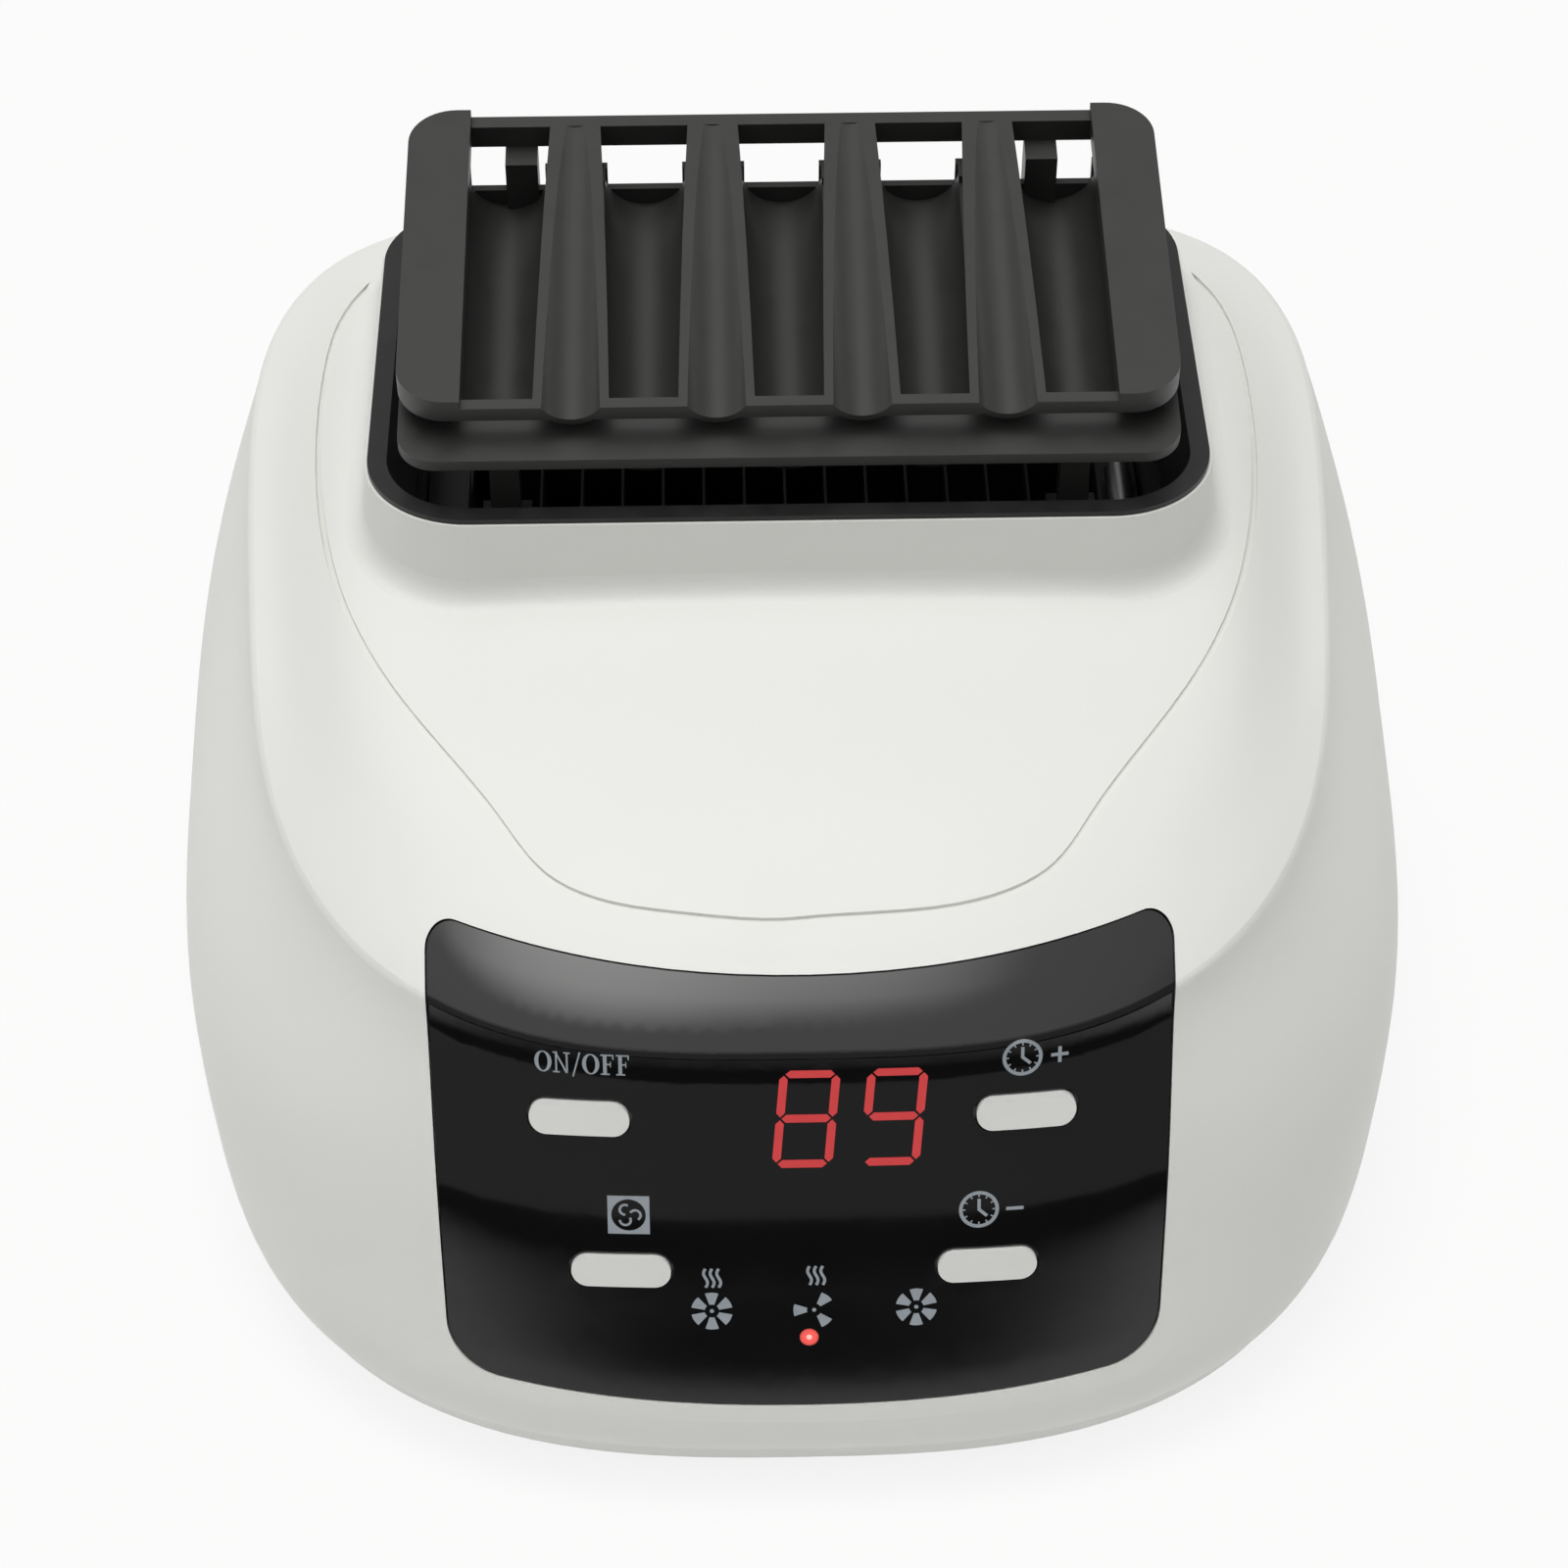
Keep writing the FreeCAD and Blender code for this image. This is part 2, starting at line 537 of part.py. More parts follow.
def panel_post(radius, x, up, low, high):
    return Part.makeCylinder(radius, high - low, PANEL_FRAME.multVec(V(x, up, low)), LEAN.multVec(AXIS_Z))


BUTTONS = [
    ("power", -size("upper_button_x"), size("upper_button_up")),
    ("time_up", size("upper_button_x"), size("upper_button_up")),
    ("mode", -size("lower_button_x"), size("lower_button_up")),
    ("time_down", size("lower_button_x"), size("lower_button_up")),
]
BOARD_SCREWS = []
for side in (-1, 1):
    for up in (size("board_screw_low"), size("board_screw_high")):
        BOARD_SCREWS.append((side * size("board_screw_x"), up))
COLUMNS = []
for side in (-1, 1):
    COLUMNS.append((side * size("front_column_x"), size("front_column_y")))
    COLUMNS.append((side * size("rear_column_x"), size("rear_column_y")))

SKIN = dome(0.0)
INNER = dome(size("shell_wall"), 2.0)
PANEL_FACE = dome(size("panel_sunk"))
PANEL_BACK = dome(size("panel_sunk") + size("panel_thick"), 1.0)
SEAT_FACE = dome(size("panel_sunk") + size("panel_thick") + size("panel_tape"), 1.0)
SEAT_BACK = dome(size("panel_sunk") + size("panel_thick") + size("seat_thick"), 2.0)

# Upper housing: shell, outlet neck, panel seat, screw columns
NECK_FOOT = size("deck_height") - 14
body = neck_blend(SKIN.fuse(neck(0.0, NECK_FOOT, size("neck_height"))))
hollow = INNER.fuse(neck(size("shell_wall"), NECK_FOOT - 3, size("neck_height") + 1))
housing = body.cut(hollow)
seat = SKIN.common(panel_prism(size("seat_reach"))).cut(SEAT_BACK)
housing = housing.fuse(seat)
housing = housing.cut(panel_prism(size("panel_gap")).cut(SEAT_FACE))
housing = housing.cut(panel_prism(-size("seat_reach")))
COLUMN_FOOT = size("seam_height") + 0.2
COLUMN_TOP = dome(size("shell_wall") - 0.6)
columns = []
bores = []
for x, y in COLUMNS:
    column = Part.makeCylinder(size("column_radius"), size("deck_height"), V(x, y, COLUMN_FOOT))
    columns.append(column.common(COLUMN_TOP))
    bores.append(Part.makeCylinder(size("case_screw_radius"), 22, V(x, y, COLUMN_FOOT - 1)))
housing = housing.fuse(columns)
inlet_hole = Part.makeBox(size("inlet_width") + 0.4, 20, size("inlet_height") + 0.4)
inlet_hole.translate(V(-size("inlet_width") / 2 - 0.2, REAR - 12, size("inlet_z") - size("inlet_height") / 2 - 0.2))
housing = housing.cut(bores + [inlet_hole])

# Engraved shield line round the deck, in shares of the crease outline
SHIELD = [(0, -0.763), (0.20, -0.749), (0.362, -0.710), (0.445, -0.656), (0.521, -0.544), (0.704, -0.262)]
SHIELD = SHIELD + [(0.808, -0.037), (0.859, 0.141), (0.885, 0.353), (0.882, 0.565), (0.839, 0.753), (0.686, 0.894)]
SHIELD = SHIELD + [(0.381, 0.947), (0, 0.959)]


def shield_ring(inset):
    half_x = LEVELS[-1][0] * WIDE
    points = []
    for across, along in SHIELD:
        reach = LEVELS[-1][2] * REAR if along > 0 else LEVELS[-1][1] * FRONT
        point = V(across * half_x, along * reach, 0)
        centre = V(0, 15, 0)
        ray = point.sub(centre)
        points.append(centre.add(ray.multiply(1 - inset / ray.Length)))
    mirrored = [V(-point.x, point.y, 0) for point in reversed(points[1:-1])]
    return Part.Face(ring(points + mirrored))


band = shield_ring(0).cut(shield_ring(size("groove_width"))).extrude(V(0, 0, 2 * size("deck_height")))
groove = band.common(SKIN).cut(dome(size("groove_depth"), 1.0))
housing = housing.cut(groove)
shaped("upper_housing", max(housing.Solids, key=lambda solid: solid.Volume))

# Control panel with its screw bosses
panel = PANEL_FACE.common(panel_prism(0.0)).cut(PANEL_BACK)
bosses = []
pilots = []
for x, up in BOARD_SCREWS:
    post = panel_post(size("boss_radius"), x, up, size("board_face"), PANEL_REACH)
    bosses.append(post.common(dome(size("panel_sunk") + 1.0)))
    pilots.append(panel_post(size("screw_radius"), x, up, size("board_face") - 1, size("board_face") + 6))
panel = panel.fuse(bosses).cut(pilots)
grow = 2 * size("button_gap")
holes = []
for name, x, up in BUTTONS:
    holes.append(pill(size("button_length") + grow, size("button_width") + grow, x, up, 60, PANEL_REACH))
panel = panel.cut(holes)
shaped("control_panel", max(panel.Solids, key=lambda solid: solid.Volume))

# Buttons: face, flange behind the panel, stem on the switch plunger
FLANGE_DEPTH = size("panel_sunk") + size("panel_thick") + 0.5
BUTTON_FACE = dome(-size("button_proud"))
FLANGE_FACE = dome(FLANGE_DEPTH)
FLANGE_BACK = dome(FLANGE_DEPTH + 1.2, 1.0)
STEM_FOOT = size("board_face") + size("switch_height") + size("plunger_rise")
for name, x, up in BUTTONS:
    face = pill(size("button_length"), size("button_width"), x, up, 60, PANEL_REACH).common(BUTTON_FACE)
    flange = pill(size("button_length") + 2.6, size("button_width") + 2.6, x, up, 60, PANEL_REACH).common(FLANGE_FACE)
    stem = panel_post(size("stem_radius"), x, up, STEM_FOOT, STEM_FOOT + 5)
    shaped(name + "_button", face.fuse(flange).cut(FLANGE_BACK).fuse(stem).Solids[0])


def lean(thing):
    thing.Placement = PANEL_FRAME
    return thing


# Switches, board and display, built in the panel frame
BUTTON_SPOTS = [
    ("power", "-upper_button_x", "upper_button_up"),
    ("time_up", "upper_button_x", "upper_button_up"),
    ("mode", "-lower_button_x", "lower_button_up"),
    ("time_down", "lower_button_x", "lower_button_up"),
]
cases = []
for name, x, up in BUTTON_SPOTS:
    case = box(name + "_case", "switch_side", "switch_side", "switch_height", x, up, "board_face")
    well = cylinder(name + "_well", "plunger_radius + plunger_gap", "switch_height", x, up, "board_face + 0.6")
    cases.append(cut(name + "_switch", case, [well]))
    plunger = cylinder(name + "_rod", "plunger_radius", "plunger_rise + plunger_sunk", x, up,
                       "board_face + switch_height - plunger_sunk")
    node(lean(group(name + "_plunger_piece", [plunger])), name + "_plunger")
node(lean(group("switch_cases", cases)), "tact_switches")

board = box("board_sheet", "board_width", "board_low + board_high", "board_thick", "0",
            "(board_high - board_low) / 2", "board_face - board_thick")
holes = []
screws = []
for index, (x, up) in enumerate([("-board_screw_x", "board_screw_low"), ("-board_screw_x", "board_screw_high"),
                                 ("board_screw_x", "board_screw_low"), ("board_screw_x", "board_screw_high")]):
    holes.append(cylinder("board_hole_%d" % index, "screw_radius + 0.2", "board_thick + 2", x, up,
                          "board_face - board_thick - 1"))
    shank = cylinder("board_shank_%d" % index, "screw_radius", "board_thick + 5", x, up, "board_face - board_thick")
    head = cylinder("board_head_%d" % index, "screw_head_radius", "1.8", x, up, "board_face - board_thick - 1.8")
    screws.append(fuse("board_screw_%d" % index, [shank, head]))
node(lean(cut("board_piece", board, holes)), "control_board")
node(lean(group("board_screw_set", screws)), "board_screws")

case = box("display_case", "display_width", "display_depth", "display_thick", "display_x", "display_up", "board_face")
bars = []
wells = []
BARS = [(0, 1, 0), (0, 0, 0), (0, -1, 0), (-1, 0.5, 1), (1, 0.5, 1), (-1, -0.5, 1), (1, -0.5, 1)]
for digit in (-1, 1):
    middle = "display_x + %d * digit_pitch / 2" % digit
    for index, (across, up, upright) in enumerate(BARS):
        x = "%s + %s * (digit_width - digit_bar) / 2" % (middle, across)
        y = "display_up + %s * (digit_height - digit_bar) / 2" % up
        long = "(digit_height - digit_bar) / 2 - digit_bar - 0.4" if upright else "digit_width - 2 * digit_bar - 0.4"
        length = "digit_bar" if upright else long
        width = long if upright else "digit_bar"
        top = "board_face + display_thick - digit_bar_thick"
        name = "digit_%d_%d" % (digit + 1, index)
        bars.append(box(name, length, width, "digit_bar_thick", x, y, top))
        wells.append(box(name + "_well", length, width, "digit_bar_thick + 1", x, y, top))
node(lean(cut("display_piece", case, wells)), "digit_display")
node(lean(group("digit_bars", bars)), "digit_segments")

lamps = []
for index in (-1, 0, 1):
    x = "%d * lamp_pitch + 1" % index
    lamps.append(cylinder("lamp_%d" % (index + 1), "lamp_radius", "lamp_height", x, "lamp_up", "board_face"))
node(lean(group("lamp_set", lamps)), "indicator_lamps")
buzzer = cylinder("buzzer_can", "buzzer_radius", "buzzer_height", "-8", "14", "board_face")
buzzer_port = cylinder("buzzer_port", "1", "2", "-8", "14", "board_face + buzzer_height - 1")
node(lean(cut("buzzer_piece", buzzer, [buzzer_port])), "buzzer")

# Base with its lip, air slots, board posts and screw seats
plate = doc.addObject("Part::Feature", "base_plate")
foot_ring = ring(level_points(LEVELS[0]))
seam_ring = ring(level_points(LEVELS[1]))
lip_inset = size("shell_wall") + size("lip_gap")
lip_outer = Part.Face(ring(level_points(LEVELS[1], lip_inset))).extrude(V(0, 0, size("lip_height")))
lip_inner = Part.Face(ring(level_points(LEVELS[1], lip_inset + size("lip_wall")))).extrude(V(0, 0, size("lip_height")))
plate.Shape = Part.makeLoft([foot_ring, seam_ring], True, True).fuse(lip_outer.cut(lip_inner))
posts = []
pilots = []
POWER_CORNERS = []
for side in (-1, 1):
    for end in (-1, 1):
        x = "%d * (power_board_width / 2 - 5)" % side
        y = "power_board_y + %d * (power_board_depth / 2 - 5)" % end
        POWER_CORNERS.append((x, y))
for index, (x, y) in enumerate(POWER_CORNERS):
    posts.append(cylinder("base_post_%d" % index, "boss_radius", "power_board_foot - seam_height + 0.5", x, y,
                          "seam_height - 0.5"))
    pilots.append(cylinder("base_pilot_%d" % index, "screw_radius", "7", x, y, "power_board_foot - 6"))
slots = []
middle_slot = int((size("inlet_slot_count") - 1) / 2)
for index in range(-middle_slot, middle_slot + 1):
    across = abs(index) * size("inlet_slot_pitch") / size("inlet_reach")
    share = math.sqrt(max(0.05, 1 - across ** 2))
    slots.append(box("air_slot_%d" % (index + middle_slot), "2 * %.4f * inlet_reach" % share, "inlet_slot_width",
                     "8", "0", "fan_y + %d * inlet_slot_pitch" % index, "feet_height - 2"))
FEET = [("-front_foot_x", "front_foot_y"), ("front_foot_x", "front_foot_y"),
        ("-rear_foot_x", "rear_foot_y"), ("rear_foot_x", "rear_foot_y")]
SCREWS = [("-front_column_x", "front_column_y"), ("front_column_x", "front_column_y"),
          ("-rear_column_x", "rear_column_y"), ("rear_column_x", "rear_column_y")]
FAN_CORNERS = [("%d * fan_hole_x" % a, "fan_y + %d * fan_hole_x" % b) for a in (-1, 1) for b in (-1, 1)]
drills = []
feet = []
case_screws = []
for index, (x, y) in enumerate(FEET):
    drills.append(cylinder("foot_hole_%d" % index, "foot_peg", "8", x, y, "feet_height - 2"))
    pad = cylinder("foot_pad_%d" % index, "foot_radius", "feet_height", x, y, "0")
    peg = cylinder("foot_stud_%d" % index, "foot_peg", "seam_height - 1", x, y, "1")
    feet.append(fuse("foot_%d" % index, [pad, peg]))
for index, (x, y) in enumerate(SCREWS):
    drills.append(cylinder("case_hole_%d" % index, "case_screw_radius + 0.2", "8", x, y, "feet_height - 2"))
    drills.append(cylinder("case_seat_%d" % index, "case_screw_head + 0.3", "1.8", x, y, "feet_height - 0.3"))
    shank = cylinder("case_shank_%d" % index, "case_screw_radius", "20", x, y, "feet_height + 1")
    head = cylinder("case_head_%d" % index, "case_screw_head", "1.5", x, y, "feet_height")
    case_screws.append(fuse("case_screw_%d" % index, [shank, head]))
for index, (x, y) in enumerate(FAN_CORNERS):
    drills.append(cylinder("fan_pilot_%d" % index, "fan_screw_radius", "6", x, y, "feet_height + 1"))
base = cut("base_piece", fuse("base_body", [plate] + posts), slots + drills + pilots)
node(base, "base_cover")
node(group("foot_set", feet), "rubber_feet")
node(group("case_screw_set", case_screws), "housing_screws")

# Filter between base and fan
screen = box("screen_sheet", "screen_side", "screen_side", "screen_thick", "0", "fan_y", "seam_height")
meshes = []
for index in range(-4, 5):
    meshes.append(box("screen_slot_%d" % (index + 4), "filter_opening - 4", "6", "4", "0",
                      "fan_y + %d * 8" % index, "seam_height - 1"))
for index, (x, y) in enumerate(FAN_CORNERS):
    meshes.append(cylinder("screen_pass_%d" % index, "fan_screw_radius + 0.3", "4", x, y, "seam_height - 1"))
node(cut("screen_piece", screen, meshes), "filter_screen")
rim = box("filter_block", "filter_side", "filter_side", "fan_foot - seam_height", "0", "fan_y", "seam_height")
mouth = box("filter_mouth", "filter_opening", "filter_opening", "10", "0", "fan_y", "seam_height - 1")
recess = box("filter_recess", "screen_side + 0.4", "screen_side + 0.4", "screen_thick + 1", "0", "fan_y", "seam_height - 1")
passes = []
for index, (x, y) in enumerate(FAN_CORNERS):
    passes.append(cylinder("filter_pass_%d" % index, "fan_screw_radius + 0.2", "12", x, y, "seam_height - 2"))
corners = []
for index, (x, y) in enumerate(FAN_CORNERS):
    corners.append(cylinder("filter_corner_%d" % index, "4.4", "fan_foot - seam_height - screen_thick", x, y,
                            "seam_height + screen_thick"))
frame = fuse("filter_rim", [cut("filter_ring", rim, [mouth, recess])] + corners)
node(cut("filter_piece", frame, passes), "filter_frame")

# Fan
shell = rounded_plate("fan_block", "fan_side", "fan_side", "fan_round", "fan_height", "0", "fan_y", "fan_foot")
bore = cylinder("fan_bore_tool", "fan_bore", "fan_height + 2", "0", "fan_y", "fan_foot - 1")
passes = []
for index, (x, y) in enumerate(FAN_CORNERS):
    passes.append(cylinder("fan_pass_%d" % index, "fan_screw_radius + 0.2", "fan_height + 2", x, y, "fan_foot - 1"))
ringed = cut("fan_ring", shell, [bore] + passes)
hub = cylinder("fan_hub_seat", "motor_radius + 1", "strut_height", "0", "fan_y", "fan_foot")
struts = [box("fan_strut_a", "2 * fan_bore + 1", "strut_width", "strut_height", "0", "fan_y", "fan_foot"),
          box("fan_strut_b", "strut_width", "2 * fan_bore + 1", "strut_height", "0", "fan_y", "fan_foot")]
seat = cylinder("fan_bearing_seat", "bearing_radius", "fan_height", "0", "fan_y", "fan_foot + 1")
node(cut("fan_frame_piece", fuse("fan_frame_body", [ringed, hub] + struts), [seat]), "fan_frame")
sleeve = cylinder("bearing_sleeve", "bearing_radius", "14", "0", "fan_y", "fan_foot + 1")
hollow = cylinder("bearing_bore", "shaft_radius + bearing_gap", "15", "0", "fan_y", "fan_foot + 2")
node(cut("bearing_piece", sleeve, [hollow]), "fan_bearing")
stator = cylinder("stator_body", "motor_radius", "motor_height", "0", "fan_y", "fan_foot + strut_height")
stator_bore = cylinder("stator_bore", "bearing_radius", "motor_height + 2", "0", "fan_y", "fan_foot + strut_height - 1")
node(cut("motor_piece", stator, [stator_bore]), "fan_motor")
HUB_TOP = "fan_foot + fan_height - 2"
cap = cylinder("hub_cap", "hub_radius", "hub_height", "0", "fan_y", HUB_TOP + " - hub_height")
cup = cylinder("hub_cup", "hub_radius - hub_wall", "hub_height - 2", "0", "fan_y", HUB_TOP + " - hub_height")
blades = []
for index in range(int(size("blade_count"))):
    blade = doc.addObject("Part::Box", "blade_%d" % index)
    bind(blade, Length="blade_tip - hub_radius + 1", Width="blade_chord", Height="blade_thick")
    turn = FreeCAD.Rotation(AXIS_Z, 360.0 * index / size("blade_count"))
    twist = FreeCAD.Rotation(AXIS_X, size("blade_pitch"))
    local = FreeCAD.Placement(V(size("hub_radius") - 1, 0, 0), twist)
    local = local.multiply(FreeCAD.Placement(V(0, -size("blade_chord") / 2, -size("blade_thick") / 2), FreeCAD.Rotation()))
    height = size("fan_foot") + size("fan_height") - 2 - size("hub_height") / 2
    blade.Placement = FreeCAD.Placement(V(0, size("fan_y"), height), turn).multiply(local)
    blades.append(blade)
sweep_ring = cylinder("blade_limit", "blade_tip", "fan_height", "0", "fan_y", "fan_foot")
limited = doc.addObject("Part::MultiCommon", "blade_set")
limited.Shapes = [fuse("blade_fan", blades), sweep_ring]
pin = cylinder("hub_pin_bore", "shaft_radius", "10", "0", "fan_y", HUB_TOP + " - 8")
node(cut("impeller_piece", fuse("impeller_body", [cap, limited]), [cup, pin]), "fan_impeller")
node(cylinder("shaft_piece", "shaft_radius", "fan_height - 5", "0", "fan_y", "fan_foot + 2.5"), "fan_shaft")
screws = []
for index, (x, y) in enumerate(FAN_CORNERS):
    shank = cylinder("fan_shank_%d" % index, "fan_screw_radius", "fan_foot + fan_height - feet_height - 1.5", x, y,
                     "feet_height + 1.5")
    head = cylinder("fan_head_%d" % index, "fan_screw_head", "1.4", x, y, "fan_foot + fan_height")
    screws.append(fuse("fan_screw_%d" % index, [shank, head]))
node(group("fan_screw_set", screws), "fan_screws")


def taper_duct(name, low_x, low_y, low_side, high_x, high_y, low_z, high_z):
    # Four-sided taper from a square mouth to the outlet rectangle.
    thing = doc.addObject("Part::Wedge", name)
    bind(thing, Xmin="-(%s) / 2" % low_x, Xmax="(%s) / 2" % low_x, Ymin=low_z, Ymax=high_z,
         Zmin="-(%s) - (%s) / 2" % (low_y, low_side), Zmax="-(%s) + (%s) / 2" % (low_y, low_side),
         X2min="-(%s) / 2" % high_x, X2max="(%s) / 2" % high_x,
         Z2min="-outlet_y - (%s) / 2" % high_y, Z2max="-outlet_y + (%s) / 2" % high_y)
    thing.Placement = FreeCAD.Placement(V(0, 0, 0), FreeCAD.Rotation(AXIS_X, 90))
    return thing


# Air duct from the fan to the outlet, with ledges for the heater
FAN_TOP = "fan_foot + fan_height"
SKIRT_FOOT = "neck_height - skirt_height"
DUCT_X = "throat_width + 2 * duct_wall"
DUCT_Y = "throat_depth + 2 * duct_wall"
funnel = taper_duct("duct_taper", "duct_foot_side", "fan_y", "duct_foot_side", DUCT_X, DUCT_Y, FAN_TOP, "duct_shoulder")
hollow = taper_duct("duct_taper_bore", "duct_foot_side - 2 * duct_wall", "fan_y", "duct_foot_side - 2 * duct_wall",
                    "throat_width", "throat_depth", FAN_TOP, "duct_shoulder")
straight = box("duct_straight", DUCT_X, DUCT_Y, SKIRT_FOOT + " - duct_shoulder", "0", "outlet_y", "duct_shoulder")
straight_bore = box("duct_straight_bore", "throat_width", "throat_depth", SKIRT_FOOT + " - duct_shoulder", "0",
                    "outlet_y", "duct_shoulder")
tube = cut("duct_tube", fuse("duct_outside", [funnel, straight]), [hollow, straight_bore])
ledges = []
for side in (-1, 1):
    ledges.append(box("duct_ledge_%d" % (side + 1), "heater_bar_width + 1", "throat_depth + 1", "2",
                      "%d * (throat_width - heater_bar_width + 1) / 2" % side, "outlet_y", "heater_foot - 2"))
node(fuse("duct_piece", [tube] + ledges), "air_duct")

# Heater: end bars, heating elements, fins, cut-out and fuse
END_X = "(throat_width / 2 - heater_gap - heater_bar_width / 2)"
HEATER_Y = "throat_depth - 2 * heater_gap"
ends = []
for side in (-1, 1):
    ends.append(box("heater_end_%d" % (side + 1), "heater_bar_width", HEATER_Y, "heater_height",
                    "%d * %s" % (side, END_X), "outlet_y", "heater_foot"))
node(group("heater_end_set", ends), "heater_end_bars")
SPAN_X = "throat_width - 2 * heater_gap - 2 * heater_bar_width"
ELEMENT_Z = "heater_foot + (heater_height - element_height) / 2"
elements = []
for index in (-1, 0, 1):
    elements.append(box("element_%d" % (index + 1), SPAN_X, "element_width", "element_height", "0",
                        "outlet_y + %d * element_pitch" % index, ELEMENT_Z))
node(group("element_set", elements), "heating_elements")
INNER_FIN = "element_pitch - element_width"
OUTER_FIN = "(%s) / 2 - element_pitch - element_width / 2" % HEATER_Y
OUTER_Y = "(element_pitch + element_width / 2 + (%s) / 2)" % OUTER_FIN
rows = [("-" + OUTER_Y, OUTER_FIN), ("-element_pitch / 2", INNER_FIN), ("element_pitch / 2", INNER_FIN),
        (OUTER_Y, OUTER_FIN)]
fins = []
reach = int((size("fin_count") - 1) / 2)
for row, (y, depth) in enumerate(rows):
    for index in range(-reach, reach + 1):
        fins.append(box("fin_%d_%d" % (row, index + reach), "fin_thick", depth, "element_height",
                        "%d * fin_pitch" % index, "outlet_y + " + y, ELEMENT_Z))
node(group("fin_set", fins), "heater_fins")
HEATER_TOP = "heater_foot + heater_height"
node(box("cutout_piece", "6", "12", "5", "-1 * " + END_X, "outlet_y", HEATER_TOP), "thermal_cutout")
fuse_body = cylinder("fuse_piece", "2", "14", END_X, "outlet_y - 7", HEATER_TOP + " + 2", AXIS_X, -90)
node(fuse_body, "thermal_fuse")

# Power board on its posts
BOARD_TOP = "power_board_foot + board_thick"
sheet_board = box("power_sheet", "power_board_width", "power_board_depth", "board_thick", "0", "power_board_y",
                  "power_board_foot")
holes = []
screws = []
for index, (x, y) in enumerate(POWER_CORNERS):
    holes.append(cylinder("power_hole_%d" % index, "screw_radius + 0.2", "board_thick + 2", x, y,
                          "power_board_foot - 1"))
    shank = cylinder("power_shank_%d" % index, "screw_radius", "board_thick + 5", x, y, "power_board_foot - 5")
    head = cylinder("power_head_%d" % index, "screw_head_radius", "1.8", x, y, BOARD_TOP)
    screws.append(fuse("power_screw_%d" % index, [shank, head]))
node(cut("power_board_piece", sheet_board, holes), "power_board")
node(group("power_screw_set", screws), "power_board_screws")
node(box("transformer_piece", "28", "24", "22", "-20", "power_board_y", BOARD_TOP), "transformer")
node(box("relay_piece", "20", "16", "16", "14", "power_board_y - 8", BOARD_TOP), "relay")
cans = []
for index, (x, y) in enumerate([("10", "power_board_y + 12"), ("24", "power_board_y + 12")]):
    cans.append(cylinder("can_%d" % index, "5", "16", x, y, BOARD_TOP))
node(group("can_set", cans), "capacitors")
terminal = box("terminal_body", "12", "26", "12", "38", "power_board_y", BOARD_TOP)
ports = []
for index in (-1, 0, 1):
    ports.append(box("terminal_port_%d" % (index + 1), "6", "5", "6", "42", "power_board_y + %d * 8" % index,
                     BOARD_TOP + " + 3"))
node(cut("terminal_piece", terminal, ports), "terminal_block")

# Mains inlet in the rear wall
INLET_FACE = "body_rear - 1"
flange = box("inlet_flange", "inlet_width", "4", "inlet_height", "0", INLET_FACE + " - 2",
             "inlet_z - inlet_height / 2")
rear_body = box("inlet_body", "inlet_width - 4", "inlet_depth", "inlet_height - 3", "0",
                INLET_FACE + " - inlet_depth / 2", "inlet_z - (inlet_height - 3) / 2")
socket = box("inlet_socket", "inlet_width - 16", "inlet_recess", "8.4", "0", INLET_FACE + " - inlet_recess / 2",
             "inlet_z - 4.2")
rounds = []
pins = []
pin_holes = []
for side in (-1, 1):
    rounds.append(cylinder("inlet_round_%d" % (side + 1), "4.2", "inlet_recess",
                           "%d * (inlet_width / 2 - 8)" % side, INLET_FACE + " - inlet_recess", "inlet_z", AXIS_X, -90))
    x = "%d * 4.3" % side
    pins.append(cylinder("inlet_pin_%d" % (side + 1), "1.2", "inlet_depth - 2", x, INLET_FACE + " - inlet_depth",
                         "inlet_z", AXIS_X, -90))
    pin_holes.append(cylinder("inlet_pin_hole_%d" % (side + 1), "1.2", "inlet_depth + 2", x,
                              INLET_FACE + " - inlet_depth - 1", "inlet_z", AXIS_X, -90))
node(cut("inlet_piece", fuse("inlet_block", [flange, rear_body]), [socket] + rounds + pin_holes), "mains_inlet")
node(group("inlet_pin_set", pins), "inlet_pins")

# Outlet bezel: rim, dish, skirt, bosses under the hood posts
rim = rounded_plate("bezel_rim", "bezel_width", "bezel_depth", "bezel_round", "bezel_thick", "0", "neck_y",
                    "neck_height")
skirt = rounded_plate("bezel_skirt", "skirt_width", "skirt_depth", "skirt_round", "skirt_height", "0", "neck_y",
                      SKIRT_FOOT)
DISH_TOP = size("neck_height") + size("bezel_thick")
DISH_FOOT = rounded_wire(size("throat_width"), size("throat_depth"), size("throat_round"),
                         DISH_TOP - size("dish_fall"), size("outlet_y"))
DISH_RIM = rounded_wire(size("dish_width"), size("dish_depth"), size("dish_round"), DISH_TOP, size("neck_y"))
dish = doc.addObject("Part::Feature", "bezel_dish")
dish.Shape = Part.makeLoft([DISH_FOOT, DISH_RIM], True, True)
throat = rounded_plate("bezel_throat", "throat_width", "throat_depth", "throat_round", "skirt_height + 4", "0",
                       "outlet_y", SKIRT_FOOT + " - 1")
POSTS = [("-post_x", "post_front_y", "1"), ("post_x", "post_front_y", "1"), ("-post_x", "post_rear_y", "-1"),
         ("post_x", "post_rear_y", "-1")]
bosses = []
drills = []
tray_posts = []
post_pilots = []
hood_screws = []
